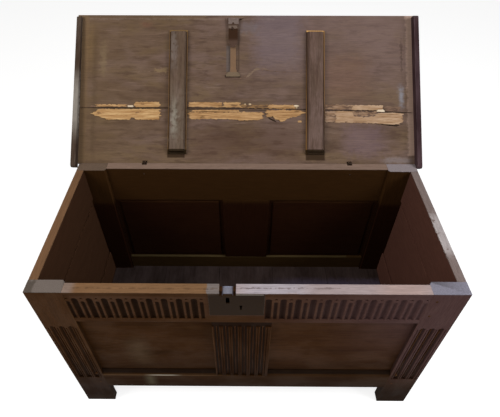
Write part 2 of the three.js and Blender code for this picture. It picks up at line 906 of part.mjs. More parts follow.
function haspStrap() {
  const top = underside - fitGap;
  const low = top - strapThickness;
  const rear = haspAxisY + strapLength;
  const half = strapWidth / 2;
  const footHalf = strapFootWidth / 2;
  const bar = block(about(ironCentre, half), [haspAxisY, rear], [low, top]);
  const foot = prismZ(
    [
      [ironCentre - half, rear - 2 * strapFootLength],
      [ironCentre + half, rear - 2 * strapFootLength],
      [ironCentre + footHalf, rear - strapFootLength / 2],
      [ironCentre + footHalf, rear],
      [ironCentre - footHalf, rear],
      [ironCentre - footHalf, rear - strapFootLength / 2],
    ],
    low,
    top,
  );
  const room = [haspAxisY - cutRun, haspAxisY + knuckleRadius + fitGap * 2];
  const outerHalf = strapKnuckleWidth / 2;
  const shoulders = [-1, 1].map((side) => {
    const across = between(ironCentre + side * outerHalf, ironCentre + side * (strapWidth + cutRun));
    return block(across, room, [low - cutRun, top + cutRun]);
  });
  const knuckle = about(ironCentre, outerHalf);
  const barrel = barX(...knuckle, haspAxisY, haspAxisZ, knuckleRadius);
  const boreRun = about(ironCentre, strapWidth);
  const bore = barX(...boreRun, haspAxisY, haspAxisZ, knucklePinRadius + fitGap / 2, wireSides);
  return joined(cutBy(joined(bar, foot), shoulders), barrel).subtract(bore).subtract(stapleBed());
}

// The hasp lies folded back under the strap. Its places are measured from its own pin.
const haspHalf = strapKnuckleWidth / 2 + fitGap * 2 + haspKnuckleWidth;
const haspOuter = -knuckleRadius;

function haspPin() {
  const across = about(ironCentre, haspHalf + fitGap);
  return barX(...across, haspAxisY, haspAxisZ, knucklePinRadius - fitGap / 2, wireSides);
}

function hasp() {
  const shoulderRun = haspLength / 3;
  const endHalf = haspEndWidth / 2;
  const outline = [
    [-haspHalf, 0],
    [haspHalf, 0],
    [haspHalf, shoulderRun / 2],
    [endHalf, shoulderRun],
    [endHalf, haspLength - endHalf],
    ...arcPoints(0, haspLength - endHalf, endHalf, 0, 180).slice(1, -1),
    [-endHalf, haspLength - endHalf],
    [-endHalf, shoulderRun],
    [-haspHalf, shoulderRun / 2],
  ];
  const sheet = prismZ(outline, haspOuter, haspInner);
  const lipTip = haspOuter - haspLipRise / 2;
  const lip = prismX(
    [
      [haspLength - haspThickness, haspInner],
      [haspLength, haspInner],
      [haspLength + haspLipRise, lipTip],
      [haspLength + haspLipRise - haspThickness, lipTip],
      [haspLength - haspThickness * 2, haspOuter],
    ],
    -endHalf / 2,
    endHalf / 2,
  );
  const barrels = [-1, 1].map((side) => {
    return barX(...between(side * (haspHalf - haspKnuckleWidth), side * haspHalf), 0, 0, knuckleRadius);
  });
  const room = block(
    about(0, haspHalf - haspKnuckleWidth),
    [-cutRun, knuckleRadius + fitGap * 2],
    [haspOuter - cutRun, haspInner + cutRun],
  );
  const bore = barX(...about(0, haspHalf + cutRun), 0, 0, knucklePinRadius + fitGap, wireSides);
  const through = [haspOuter - cutRun, haspInner + cutRun];
  const legs = [-1, 1].map((side) => {
    const place = stapleCentreDrop + side * stapleLoopRadius;
    return barZ(0, place, ...through, stapleWireRadius + fitGap, wireSides);
  });
  return cutBy(joined(sheet.subtract(room), lip, ...barrels), [bore, ...legs]);
}

// The staple's bent wire, with its two ends headed over on the hasp's face
function haspStaple() {
  const base = haspInner + stapleLegLength;
  const tail = haspOuter - fitGap;
  const ends = about(stapleCentreDrop, stapleLoopRadius);
  const bend = arcPoints(stapleCentreDrop, base, stapleLoopRadius, 180, 0, arcSteps * 2);
  const points = [[ends[0], tail], ...bend, [ends[1], tail]].map(([y, z]) => new THREE.Vector3(0, y, z));
  const path = new THREE.CurvePath();
  for (let i = 1; i < points.length; i += 1) {
    path.add(new THREE.LineCurve3(points[i - 1], points[i]));
  }
  const round = arcPoints(0, 0, stapleWireRadius, 0, 360, wireSides).slice(0, wireSides);
  const section = new THREE.Shape(round.map(([a, b]) => new THREE.Vector2(a, b)));
  const options = { steps: arcSteps * 4, extrudePath: path, bevelEnabled: false };
  const heads = ends.map((place) => {
    return barZ(0, place, tail - stapleHeadHeight + fitGap, tail, stapleHeadRadius, wireSides);
  });
  return joined(solidOf(new THREE.ExtrudeGeometry(section, options)), ...heads);
}

// Floor boards run from front to back, each with a rebated tongue on its lower half where it enters a
// rail. The end boards are cut round the stiles.
function floorBoard(index) {
  const low = legHeight + floorRise + fitGap;
  const faceX = chestWidth / 2 - sideRailThickness - fitGap;
  const faceY = chestDepth / 2 - frontRailThickness - fitGap;
  const tongueX = faceX + floorGrooveDepth;
  const width = (2 * tongueX) / floorBoardCount;
  const left = -tongueX + index * width + floorBoardGap / 2;
  const right = left + width - floorBoardGap;
  const tongue = block([left, right], about(0, faceY + floorGrooveDepth), [low, low + floorTongueThickness]);
  const face = block(
    [Math.max(left, -faceX), Math.min(right, faceX)],
    about(0, faceY),
    [low, low + floorThickness],
  );
  const corners = [];
  for (const sideX of [-1, 1]) {
    for (const sideY of [-1, 1]) {
      const acrossX = between(sideX * (stileInner - fitGap), (sideX * chestWidth) / 2);
      const acrossY = between(sideY * (sideInner - fitGap), (sideY * chestDepth) / 2);
      corners.push(block(acrossX, acrossY, [low - cutRun, low + floorThickness + cutRun]));
    }
  }
  return cutBy(tongue.add(face), corners);
}

function floorGroove(wall) {
  const low = legHeight + floorRise;
  return block(
    about(0, wall.reach + cutRun),
    [wall.thickness - floorGrooveDepth, wall.thickness + cutRun],
    [low, low + floorTongueThickness + 2 * fitGap],
  );
}

// Assembly

const chest = new THREE.Group();
const openAngle = THREE.MathUtils.degToRad(lidOpenDegrees);

function wallGroup(turn, reach) {
  const group = new THREE.Group();
  group.rotation.z = turn;
  group.position.set(reach * Math.sin(turn), -reach * Math.cos(turn), 0);
  chest.add(group);
  return group;
}

const muntinHalf = muntinWidth / 2;
const front = wallGroup(0, chestDepth / 2);
const back = wallGroup(Math.PI, chestDepth / 2);
const left = wallGroup(-Math.PI / 2, chestWidth / 2);
const right = wallGroup(Math.PI / 2, chestWidth / 2);

front.add(meshOf('front_left_stile', frontStile(-1, leftFootArrisChamfer), oak));
front.add(meshOf('front_right_stile', frontStile(1, rightFootArrisChamfer), oak));
front.add(meshOf('front_top_rail', frontTopRail(), oak));
front.add(meshOf('front_bottom_rail', frontBottomRail(), oak));
front.add(meshOf('front_muntin', frontMuntin(), oak));
front.add(meshOf('front_left_panel', panel(frontWall, -stileInner, frontMuntinOffset - muntinHalf), oak));
front.add(meshOf('front_right_panel', panel(frontWall, frontMuntinOffset + muntinHalf, stileInner), oak));
front.add(meshOf('lock_plate', lockPlate(), wroughtIron));
front.add(meshOf('lock_case', lockCase(), wroughtIron));
front.add(meshOf('lock_bolt', lockBolt(), wroughtIron));
front.add(meshOf('lock_spring', lockSpring(), wroughtIron));
front.add(meshOf('key_pin', keyPin(), wroughtIron));

// The back wall is seen from behind, so its left stile stands at the +u end
function intoBackWall(solid) {
  return solid.rotate([0, 0, 180]).translate([0, chestDepth / 2, 0]);
}

const backTopRail = cutBy(rail(backWall, 'top'), [
  muntinMortise(backWall, 'top', -backMuntinOffset),
  intoBackWall(fixedLoopRoom(-hingeSpread)),
  intoBackWall(fixedLoopRoom(hingeSpread)),
]);
const backBottomRail = cutBy(rail(backWall, 'bottom'), [
  muntinMortise(backWall, 'bottom', -backMuntinOffset),
  floorGroove(backWall),
]);
back.add(meshOf('back_left_stile', stile(backWall, 1, rightFootArrisChamfer), oak));
back.add(meshOf('back_right_stile', stile(backWall, -1, rightFootArrisChamfer), oak));
back.add(meshOf('back_top_rail', backTopRail, oak));
back.add(meshOf('back_bottom_rail', backBottomRail, oak));
back.add(meshOf('back_muntin', muntin(backWall, -backMuntinOffset), oak));
back.add(meshOf('back_left_panel', panel(backWall, -backMuntinOffset + muntinHalf, stileInner), oak));
back.add(meshOf('back_right_panel', panel(backWall, -stileInner, -backMuntinOffset - muntinHalf), oak));

for (const [name, group] of [['left', left], ['right', right]]) {
  group.add(meshOf(`${name}_top_rail`, rail(sideWall, 'top'), oak));
  group.add(meshOf(`${name}_bottom_rail`, rail(sideWall, 'bottom').subtract(floorGroove(sideWall)), oak));
  group.add(meshOf(`${name}_panel`, panel(sideWall, -sideInner, sideInner), oak));
}

for (let i = 0; i < floorBoardCount; i += 1) {
  chest.add(meshOf(`floor_board_${i + 1}`, floorBoard(i), dryOak));
}

for (const [name, side] of [['left', -1], ['right', 1]]) {
  const loop = meshOf(`${name}_fixed_loop`, fixedLoop(), wroughtIron);
  loop.position.set(side * hingeSpread, axisWorldY, axisWorldZ);
  chest.add(loop);
}

const lid = new THREE.Group();
lid.position.set(0, axisWorldY, axisWorldZ);
lid.rotation.x = -openAngle;
chest.add(lid);
lid.add(meshOf('lid_front_board', lidFrontBoard(), oak));
lid.add(meshOf('lid_back_board', lidBackBoard(), oak));
lid.add(meshOf('left_cleat', cleat(-1, leftCleatFrontHeight), wornOak));
lid.add(meshOf('right_cleat', cleat(1, cleatHeight), darkOak));
lid.add(meshOf('left_batten', batten(leftBattenPlace, 0), wornOak));
lid.add(meshOf('right_batten', batten(rightBattenPlace, rightBattenLean), oak));
lid.add(meshOf('hasp_strap', haspStrap(), wroughtIron));
lid.add(meshOf('hasp_pin', haspPin(), wroughtIron));
for (const [name, side] of [['left', -1], ['right', 1]]) {
  const loop = meshOf(`${name}_moving_loop`, movingLoop(), wroughtIron);
  loop.position.x = side * hingeSpread;
  lid.add(loop);
}

const haspGroup = new THREE.Group();
haspGroup.position.set(ironCentre, haspAxisY, haspAxisZ);
lid.add(haspGroup);
haspGroup.add(meshOf('hasp', hasp(), wroughtIron));
haspGroup.add(meshOf('hasp_staple', haspStaple(), wroughtIron));

// The open lid reaches past the back, and further out at the left than at the right, so the origin stands
// under the middle of the whole
const rearmost = axisWorldY - lidFrontReach * Math.cos(openAngle) + lidTop * Math.sin(openAngle);
const foremost = -chestDepth / 2 - plateProud;
chest.position.x = -(lidLeft + lidRight) / 2;
chest.position.y = -(rearmost + foremost) / 2;
const coffer = new THREE.Group();
coffer.add(chest);

export default coffer;
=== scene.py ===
"""The looks of a joined oak coffer chest with its lid open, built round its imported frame.

Every wooden and iron node of the frame gets a dressed piece with eased arrises and a procedural finish.
The torn wood along the lid's seam, the splits, the splinters and the pegs are modelled here.
Lengths are in millimetres and colours in display units of 0 to 255, until a mesh or a shader takes them.
"""

from __future__ import annotations

import json
import logging
import math
import random
from dataclasses import dataclass, field, replace
from enum import Enum
from typing import Any

import bmesh
import bpy
from mathutils import Euler, Matrix, Vector, noise

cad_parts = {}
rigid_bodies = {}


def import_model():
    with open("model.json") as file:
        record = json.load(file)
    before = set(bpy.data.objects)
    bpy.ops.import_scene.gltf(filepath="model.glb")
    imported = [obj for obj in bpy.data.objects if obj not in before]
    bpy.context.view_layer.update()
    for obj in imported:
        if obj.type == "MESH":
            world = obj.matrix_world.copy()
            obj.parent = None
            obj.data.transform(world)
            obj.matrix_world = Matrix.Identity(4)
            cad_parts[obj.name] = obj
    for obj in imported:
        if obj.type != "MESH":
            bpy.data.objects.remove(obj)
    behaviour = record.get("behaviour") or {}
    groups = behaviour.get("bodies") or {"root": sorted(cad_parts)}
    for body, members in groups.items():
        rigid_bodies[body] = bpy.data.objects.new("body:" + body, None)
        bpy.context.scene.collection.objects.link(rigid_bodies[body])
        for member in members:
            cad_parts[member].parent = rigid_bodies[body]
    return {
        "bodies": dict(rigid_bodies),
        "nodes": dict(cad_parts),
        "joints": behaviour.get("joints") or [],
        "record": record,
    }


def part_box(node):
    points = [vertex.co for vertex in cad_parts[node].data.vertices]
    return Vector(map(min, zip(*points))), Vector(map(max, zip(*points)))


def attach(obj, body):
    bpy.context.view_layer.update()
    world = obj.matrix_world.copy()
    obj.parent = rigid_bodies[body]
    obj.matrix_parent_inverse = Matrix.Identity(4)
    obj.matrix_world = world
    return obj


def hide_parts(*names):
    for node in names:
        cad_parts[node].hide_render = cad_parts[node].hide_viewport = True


LOG = logging.getLogger("coffer")

MM = 0.001
FAR = 9000.0

Shade = tuple[int, int, int]
Triple = tuple[float, float, float]
Span = tuple[float, float]
Points = tuple[tuple[float, float], ...]
Socket = Any
Piece = bpy.types.Object

ALL: Span = (-FAR, FAR)
FRONT_HALF: Span = (-FAR, 0)


class Grain(Enum):
    """The way the grain runs, as the turn in degrees that lays it along a shader's X."""

    ALONG_X = (0.0, 0.0, 0.0)
    ALONG_Y = (0.0, 0.0, -90.0)
    ALONG_Z = (0.0, 90.0, 0.0)

    @property
    def turn(self) -> Euler:
        """The turn in radians."""
        return Euler([math.radians(value) for value in self.value], "XYZ")


class Body(Enum):
    """The moving bodies of the chest, by their names in the frame."""

    CHEST = "chest"
    LID = "lid"
    HASP = "hasp"
    BOLT = "bolt"


class Slot(Enum):
    """The record's material slots."""

    OAK = "oak"
    WORN_OAK = "worn_oak"
    DARK_OAK = "dark_oak"
    DRY_OAK = "dry_oak"
    IRON = "iron"


def linear(shade: Shade) -> tuple[float, ...]:
    """The linear colour with alpha that shaders take.

    Args:
        shade: The colour in display units.

    Returns:
        The linear red, green and blue, and an alpha of 1.
    """
    shares = [value / 255 for value in shade]
    curved = [share / 12.92 if share <= 0.04045 else ((share + 0.055) / 1.055) ** 2.4 for share in shares]
    return (*curved, 1.0)


def metres(values: tuple[float, ...]) -> tuple[float, ...]:
    """Millimetres in metres."""
    return tuple(value * MM for value in values)


def shift(*place: float) -> Matrix:
    """A move by three lengths in millimetres."""
    return Matrix.Translation(Vector(place) * MM)


def seed_of(name: str) -> int:
    """A number that is always the same for a name."""
    return sum(ord(letter) * (index + 3) for index, letter in enumerate(name))


class Nodes:
    """A small hand for laying nodes and links in one node tree."""

    def __init__(self, tree: bpy.types.NodeTree) -> None:
        """Keeps the tree."""
        self.tree = tree

    def add(self, kind: str, **settings: Any) -> bpy.types.Node:
        """Adds a node.

        Args:
            kind: Blender's name of the node type.
            **settings: Attributes of the node.

        Returns:
            The node.
        """
        node = self.tree.nodes.new(kind)
        for name, value in settings.items():
            setattr(node, name, value)
        return node

    def give(self, socket: Socket, value: Any) -> None:
        """Links a socket into an input, or sets it to a plain value, or leaves it alone for None.

        Args:
            socket: The input.
            value: The socket or the plain value.
        """
        if isinstance(value, bpy.types.NodeSocket):
            self.tree.links.new(value, socket)
        elif value is not None:
            socket.default_value = value

    def feed(self, node: bpy.types.Node, **values: Any) -> bpy.types.Node:
        """Links sockets into a node's inputs, or sets them to plain values.

        Args:
            node: The node.
            **values: What each input gets, by its name with underscores for spaces. None leaves it alone.

        Returns:
            The node.
        """
        for name, value in values.items():
            self.give(node.inputs[name.replace("_", " ")], value)
        return node

    def fill(self, node: bpy.types.Node, *values: Any) -> bpy.types.Node:
        """Links sockets into a node's first inputs in order, or sets them to plain values.

        Args:
            node: The node.
            *values: What the inputs get. None leaves one alone.

        Returns:
            The node.
        """
        for socket, value in zip(node.inputs, values):
            self.give(socket, value)
        return node

    def math(self, operation: str, first: Any, second: Any = None) -> Socket:
        """The result of a Math node."""
        return self.fill(self.add("ShaderNodeMath", operation=operation), first, second).outputs[0]

    def vector(self, operation: str, first: Any, second: Any) -> Socket:
        """The result of a Vector Math node."""
        return self.fill(self.add("ShaderNodeVectorMath", operation=operation), first, second).outputs[0]

    def apart(self, vector: Socket) -> list[Socket]:
        """A vector's three values."""
        return list(self.fill(self.add("ShaderNodeSeparateXYZ"), vector).outputs)

    def grey(self, value: Socket) -> Socket:
        """A grey of one value."""
        return self.fill(self.add("ShaderNodeCombineColor"), value, value, value).outputs[0]

    def noise(self, vector: Any, waves: Triple, detail: float, rough: float = 0.5) -> Socket:
        """Noise that is stretched by the given frequencies.

        Args:
            vector: The coordinates' socket.
            waves: Waves per metre along each axis.
            detail: Octaves.
            rough: How strong the finer octaves are.

        Returns:
            The noise's factor.
        """
        scaled = self.vector("MULTIPLY", vector, waves)
        node = self.add("ShaderNodeTexNoise")
        self.feed(node, Vector=scaled, Scale=1.0, Detail=detail, Roughness=rough)
        return node.outputs["Fac"]

    def spread(self, value: Any, low: Any, high: Any, to_low: float = 0.0, to_high: float = 1.0) -> Socket:
        """A smooth step of a value from one range to another.

        Args:
            value: The value's socket.
            low: Start of the range.
            high: End of the range.
            to_low: Result at the start.
            to_high: Result at the end.

        Returns:
            The result's socket.
        """
        node = self.add("ShaderNodeMapRange", interpolation_type="SMOOTHSTEP")
        self.feed(node, Value=value, From_Min=low, From_Max=high, To_Min=to_low, To_Max=to_high)
        return node.outputs["Result"]

    def mix(self, share: Any, first: Any, second: Any, blend: str = "MIX") -> Socket:
        """A colour mix.

        Args:
            share: The second colour's share.
            first: The first colour, as a display colour or a socket.
            second: The second colour, as a display colour or a socket.
            blend: Blender's blend type.

        Returns:
            The mixed colour's socket.
        """
        node = self.add("ShaderNodeMix", data_type="RGBA", blend_type=blend)
        colours = [linear(colour) if isinstance(colour, tuple) else colour for colour in (first, second)]
        return self.fill(node, share, None, None, None, None, None, *colours).outputs[2]


class Effects:
    """The node groups that several finishes share. Each is built once."""

    def __init__(self) -> None:
        """Builds the groups."""
        self.grain = self._oak_grain()
        self.arris = self._arris_distance()
        self.region = self._soft_box()

    def _tree(
        self, name: str, vectors: tuple[str, ...], floats: tuple[str, ...], made: tuple[str, ...]
    ) -> tuple[Nodes, Any, bpy.types.Node]:
        """Makes an empty group.

        Args:
            name: The group's name.
            vectors: Names of the vector inputs.
            floats: Names of the value inputs.
            made: Names of the value outputs.

        Returns:
            The hand for its nodes, its input sockets by name and its output node.
        """
        tree = bpy.data.node_groups.new(name, "ShaderNodeTree")
        for label in vectors:
            tree.interface.new_socket(label, in_out="INPUT", socket_type="NodeSocketVector")
        for label in floats:
            tree.interface.new_socket(label, in_out="INPUT", socket_type="NodeSocketFloat")
        for label in made:
            tree.interface.new_socket(label, in_out="OUTPUT", socket_type="NodeSocketFloat")
        hand = Nodes(tree)
        return hand, hand.add("NodeGroupInput").outputs, hand.add("NodeGroupOutput")

    def _oak_grain(self) -> bpy.types.NodeTree:
        """Oak figure, fibres, pores and blotches along X, and the height that they make.

        Returns:
            The group.
        """
        hand, given, made = self._tree(
            "oak_grain", ("Vector",), (), ("Figure", "Fibre", "Pores", "Blotch", "Height")
        )
        place = given["Vector"]
        bend = hand.noise(place, (2.2, 9.0, 9.0), 3.0)
        aside = hand.math("MULTIPLY", hand.math("SUBTRACT", bend, 0.5), 0.05)
        combine = hand.fill(hand.add("ShaderNodeCombineXYZ"), None, aside, aside)
        waved = hand.vector("ADD", place, combine.outputs[0])
        figure = hand.spread(hand.noise(waved, (3.0, 44.0, 44.0), 6.0, 0.66), 0.28, 0.72)
        fibre = hand.noise(waved, (14.0, 380.0, 380.0), 3.0, 0.6)
        pores = hand.spread(hand.noise(waved, (26.0, 900.0, 900.0), 2.0), 0.60, 0.72)
        blotch = hand.spread(hand.noise(place, (7.0, 13.0, 13.0), 6.0, 0.62), 0.32, 0.68)
        raised = hand.math("ADD", hand.math("MULTIPLY", fibre, 0.5), hand.math("MULTIPLY", figure, 0.25))
        raised = hand.math("SUBTRACT", raised, hand.math("MULTIPLY", pores, 0.6))
        hand.feed(made, Figure=figure, Fibre=fibre, Pores=pores, Blotch=blotch, Height=raised)
        return hand.tree

    def _arris_distance(self) -> bpy.types.NodeTree:
        """Distance in metres from a point on a box-shaped piece to its nearest arris.

        Returns:
            The group.
        """
        hand, given, made = self._tree("arris_distance", ("Vector", "Low", "High"), (), ("Distance",))
        below = hand.vector("SUBTRACT", given["Vector"], given["Low"])
        above = hand.vector("SUBTRACT", given["High"], given["Vector"])
        first, second, third = hand.apart(hand.vector("MINIMUM", below, above))
        low = hand.math("MINIMUM", first, second)
        high = hand.math("MAXIMUM", first, second)
        hand.feed(made, Distance=hand.math("MAXIMUM", low, hand.math("MINIMUM", high, third)))
        return hand.tree

    def _soft_box(self) -> bpy.types.NodeTree:
        """A mask that is 1 inside a box and fades across its ragged sides.

        Returns:
            The group.
        """
        hand, given, made = self._tree("soft_box", ("Vector", "Low", "High", "Soft"), ("Ragged",), ("Mask",))
        place = given["Vector"]
        rough = hand.noise(place, (55.0, 55.0, 55.0), 5.0, 0.65)
        rough = hand.math("MULTIPLY", hand.math("SUBTRACT", rough, 0.5), given["Ragged"])
        below = hand.vector("SUBTRACT", place, given["Low"])
        above = hand.vector("SUBTRACT", given["High"], place)
        near = hand.vector("MINIMUM", below, above)
        uneven = hand.fill(hand.add("ShaderNodeCombineXYZ"), rough, rough, rough)
        near = hand.vector("ADD", near, uneven.outputs[0])
        share = hand.vector("ADD", hand.vector("DIVIDE", near, given["Soft"]), (0.5, 0.5, 0.5))
        first, second, third = [hand.spread(value, 0.0, 1.0) for value in hand.apart(share)]
        hand.feed(made, Mask=hand.math("MULTIPLY", hand.math("MULTIPLY", first, second), third))
        return hand.tree


@dataclass(frozen=True)
class Paint:
    """Another colour inside a box of the body's places, with soft ragged sides."""

    colour: Shade
    strength: float = 1.0
    x: Span = ALL
    y: Span = ALL
    z: Span = ALL
    soft: float | Triple = 1.5
    ragged: float = 0.0
    gloss: float = 0.0


@dataclass(frozen=True)
class Mottle:
    """Blotches of another colour that noise lays over a piece."""

    colour: Shade
    waves: Triple
    low: float
    high: float
    strength: float


class Ground(Nodes):
    """The nodes of one piece's material, which finishes lay their colours on."""

    def __init__(
        self, name: str, effects: Effects, home: Matrix, piece: Piece, grain: Grain, seed: int
    ) -> None:
        """Makes the material, with the surface's places in its body's own space.

        Args:
            name: The material's name.
            effects: The shared node groups.
            home: The matrix from the frame to the body's places.
            piece: The piece.
            grain: The way its grain runs.
            seed: Picks the piece of the tree that the grain comes from.
        """
        self.material = bpy.data.materials.new(name)
        self.material.use_nodes = True
        super().__init__(self.material.node_tree)
        self.effects = effects
        self.turn = grain.turn
        self.draw = random.Random(seed)
        turned = self.turn.to_matrix().to_4x4() @ home
        points = [turned @ vertex.co for vertex in piece.data.vertices]
        self.low = tuple(min(point[axis] for point in points) for axis in range(3))
        self.high = tuple(max(point[axis] for point in points) for axis in range(3))
        seen = self.add("ShaderNodeTexCoord").outputs["Object"]
        self.place = self.mapping(seen, Location=home.to_translation(), Rotation=home.to_euler("XYZ"))

    def mapping(self, vector: Socket, **values: Any) -> Socket:
        """Moved or turned coordinates."""
        return self.feed(self.add("ShaderNodeMapping"), Vector=vector, **values).outputs[0]

    def group(self, tree: bpy.types.NodeTree, **values: Any) -> bpy.types.Node:
        """Places a node group and feeds its inputs by name."""
        return self.feed(self.add("ShaderNodeGroup", node_tree=tree), **values)

    def arris(self, place: Socket) -> Socket:
        """The distance in metres to the piece's nearest arris."""
        return self.group(self.effects.arris, Vector=place, Low=self.low, High=self.high).outputs["Distance"]

    def overlay(self, share: Any, strength: float, colour: Socket, over: Any) -> Socket:
        """A colour with another over it, by a mask and a strength."""
        return self.mix(self.math("MULTIPLY", share, strength), colour, over)

    def coat(
        self, paints: tuple[Paint, ...], colour: Socket, rough: Socket, tone: Socket
    ) -> tuple[Socket, Socket]:
        """Lays paints over a colour.

        Args:
            paints: The paints, the lowest first.
            colour: The colour so far.
            rough: The roughness so far.
            tone: A grey that shows the grain through each paint.

        Returns:
            The colour and the roughness.
        """
        for paint in paints:
            soft = paint.soft if isinstance(paint.soft, tuple) else (paint.soft,) * 3
            low, high = zip(metres(paint.x), metres(paint.y), metres(paint.z))
            mask = self.group(
                self.effects.region, Vector=self.place, Low=low, High=high, Soft=metres(soft),
                Ragged=paint.ragged * MM,
            ).outputs["Mask"]
            mask = self.math("MULTIPLY", mask, paint.strength)
            colour = self.mix(mask, colour, self.mix(1.0, paint.colour, tone, "MULTIPLY"))
            if paint.gloss:
                rough = self.math("SUBTRACT", rough, self.math("MULTIPLY", mask, paint.gloss))
        return colour, rough

    def finish(
        self, colour: Socket, rough: Socket, height: Socket, relief: tuple[float, float], shine: float,
        metal: Socket | None = None,
    ) -> bpy.types.Material:
        """Feeds the shader.

        Args:
            colour: The colour.
            rough: The roughness.
            height: The surface's height.
            relief: The bump's strength, and its depth in millimetres.
            shine: The level of the mirror-like gloss.
            metal: How much of the surface is bare metal, if any.

        Returns:
            The material.
        """
        strength, depth = relief
        bump = self.feed(self.add("ShaderNodeBump"), Strength=strength, Distance=depth * MM, Height=height)
        shader = self.tree.nodes["Principled BSDF"]
        self.feed(shader, Base_Color=colour, Metallic=metal, Roughness=rough, Normal=bump.outputs[0])
        self.feed(shader, Specular_IOR_Level=shine)
        return self.material


@dataclass(frozen=True)
class OakFinish:
    """The look of old oak: its colours, its wear and its sheen."""

    dark: Shade = (57, 35, 19)
    middle: Shade = (73, 46, 25)
    light: Shade = (85, 57, 33)
    wear: Shade = (102, 72, 45)
    wear_strength: float = 0.5
    relief: float = 0.35
    streaks: float = 0.16
    mottles: tuple[Mottle, ...] = ()
    slot: Slot = Slot.OAK
    paints: tuple[Paint, ...] = ()
    kind: str = "oak"

    def lay(self, ground: Ground) -> bpy.types.Material:
        """Builds the material of one piece.

        Args:
            ground: The piece's material so far.

        Returns:
            The material.
        """
        turned = ground.mapping(ground.place, Rotation=ground.turn)
        cut = [ground.draw.uniform(-9, 9) for _ in range(3)]
        moved = ground.mapping(turned, Location=cut)
        wood = ground.group(ground.effects.grain, Vector=moved).outputs
        colour = ground.mix(wood["Figure"], self.dark, self.middle)
        colour = ground.overlay(wood["Blotch"], 0.6, colour, self.light)
        for mottle in self.mottles:
            blotches = ground.noise(moved, mottle.waves, 6.0, 0.62)
            blotches = ground.spread(blotches, mottle.low, mottle.high)
            colour = ground.overlay(blotches, mottle.strength, colour, mottle.colour)
        tone = ground.grey(ground.spread(wood["Fibre"], 0.25, 0.75, 1.0 - self.streaks, 1.0 + self.streaks))
        colour = ground.mix(1.0, colour, tone, "MULTIPLY")
        uneven = ground.noise(moved, (18.0, 60.0, 60.0), 4.0, 0.6)
        reach = ground.math("MULTIPLY", ground.spread(uneven, 0.35, 0.7, 0.15, 1.0), 4 * MM)
        rubbed = ground.spread(ground.math("DIVIDE", ground.arris(turned), reach), 1.0, 0.3)
        colour = ground.overlay(rubbed, self.wear_strength, colour, self.wear)
        rough = ground.spread(wood["Blotch"], 0.0, 1.0, 0.68, 0.5)
        colour, rough = ground.coat(self.paints, colour, rough, tone)
        colour = ground.overlay(wood["Pores"], 0.4, colour, self.dark)
        return ground.finish(colour, rough, wood["Height"], (self.relief, 0.6), 0.012)


@dataclass(frozen=True)
class IronFinish:
    """The look of old wrought iron: black scale, rust and rubbed bright metal."""

    scale: Shade = (48, 38, 31)
    rust: Shade = (74, 50, 36)
    bright: Shade = (120, 108, 100)
    shine: float = 0.12
    slot: Slot = Slot.IRON
    paints: tuple[Paint, ...] = ()
    kind: str = "iron"

    def lay(self, ground: Ground) -> bpy.types.Material:
        """Builds the material of one iron piece.

        Args:
            ground: The piece's material so far.

        Returns:
            The material.
        """
        coarse = ground.noise(ground.place, (70.0, 70.0, 70.0), 6.0, 0.66)
        fine = ground.noise(ground.place, (420.0, 420.0, 420.0), 4.0, 0.6)
        rusted = ground.spread(coarse, 0.53, 0.78)
        colour = ground.mix(rusted, self.scale, self.rust)
        colour = ground.overlay(ground.spread(fine, 0.5, 0.75), 0.4, colour, self.rust)
        rubbed = ground.spread(ground.arris(ground.place), 2 * MM, 0.0)
        rubbed = ground.math("MULTIPLY", rubbed, ground.spread(coarse, 0.35, 0.6))
        colour = ground.overlay(rubbed, 0.4, colour, self.bright)
        rough = ground.spread(rusted, 0.0, 1.0, 0.5, 0.85)
        tone = ground.grey(ground.spread(fine, 0.3, 0.7, 0.88, 1.12))
        colour, rough = ground.coat(self.paints, colour, rough, tone)
        height = ground.math("ADD", coarse, ground.math("MULTIPLY", fine, 0.3))
        metal = ground.spread(rusted, 0.0, 1.0, 0.0, 0.05)
        return ground.finish(colour, rough, height, (0.5, 0.5), self.shine, metal)


@dataclass(frozen=True)
class TornFinish:
    """The look of wood torn along its grain: pale fibres with darker scraps of the old surface."""

    pale: Shade = (206, 170, 122)
    gold: Shade = (170, 128, 82)
    scrap: Shade = (104, 78, 56)
    scrap_from: float = 0.60
    slot: Slot = Slot.DRY_OAK
    kind: str = "finish"

    def lay(self, ground: Ground) -> bpy.types.Material:
        """Builds the material of one torn piece.

        Args:
            ground: The piece's material so far.

        Returns:
            The material.
        """
        cut = (ground.draw.uniform(-9, 9), ground.draw.uniform(-9, 9), 0.0)
        moved = ground.mapping(ground.place, Location=cut)
        fibres = ground.noise(moved, (16.0, 240.0, 240.0), 4.0, 0.62)
        patches = ground.noise(moved, (24.0, 70.0, 70.0), 5.0, 0.6)
        colour = ground.mix(ground.spread(fibres, 0.35, 0.65), self.gold, self.pale)
        colour = ground.overlay(ground.spread(patches, 0.4, 0.6), 0.45, colour, self.gold)
        left_on = ground.spread(patches, self.scrap_from, self.scrap_from + 0.07)
        colour = ground.overlay(left_on, 0.75, colour, self.scrap)
        colour = ground.overlay(ground.spread(fibres, 0.40, 0.30), 0.6, colour, self.scrap)
        rough = ground.spread(fibres, 0.3, 0.7, 0.75, 0.9)
        return ground.finish(colour, rough, fibres, (0.7, 1.0), 0.1)


Finish = OakFinish | IronFinish | TornFinish
FRONT_OAK = OakFinish()


def deselect() -> None:
    """Leaves nothing selected, in object mode."""
    if bpy.context.object and bpy.context.object.mode != "OBJECT":
        bpy.ops.object.mode_set(mode="OBJECT")
    bpy.ops.object.select_all(action="DESELECT")


def activate(piece: Piece) -> None:
    """Makes a piece the only selected one.

    Args:
        piece: The piece.
    """
    deselect()
    piece.select_set(True)
    bpy.context.view_layer.objects.active = piece


def smooth(degrees: float) -> None:
    """Shades the active piece smooth, but for edges sharper than an angle."""
    bpy.ops.object.shade_smooth_by_angle(angle=math.radians(degrees))


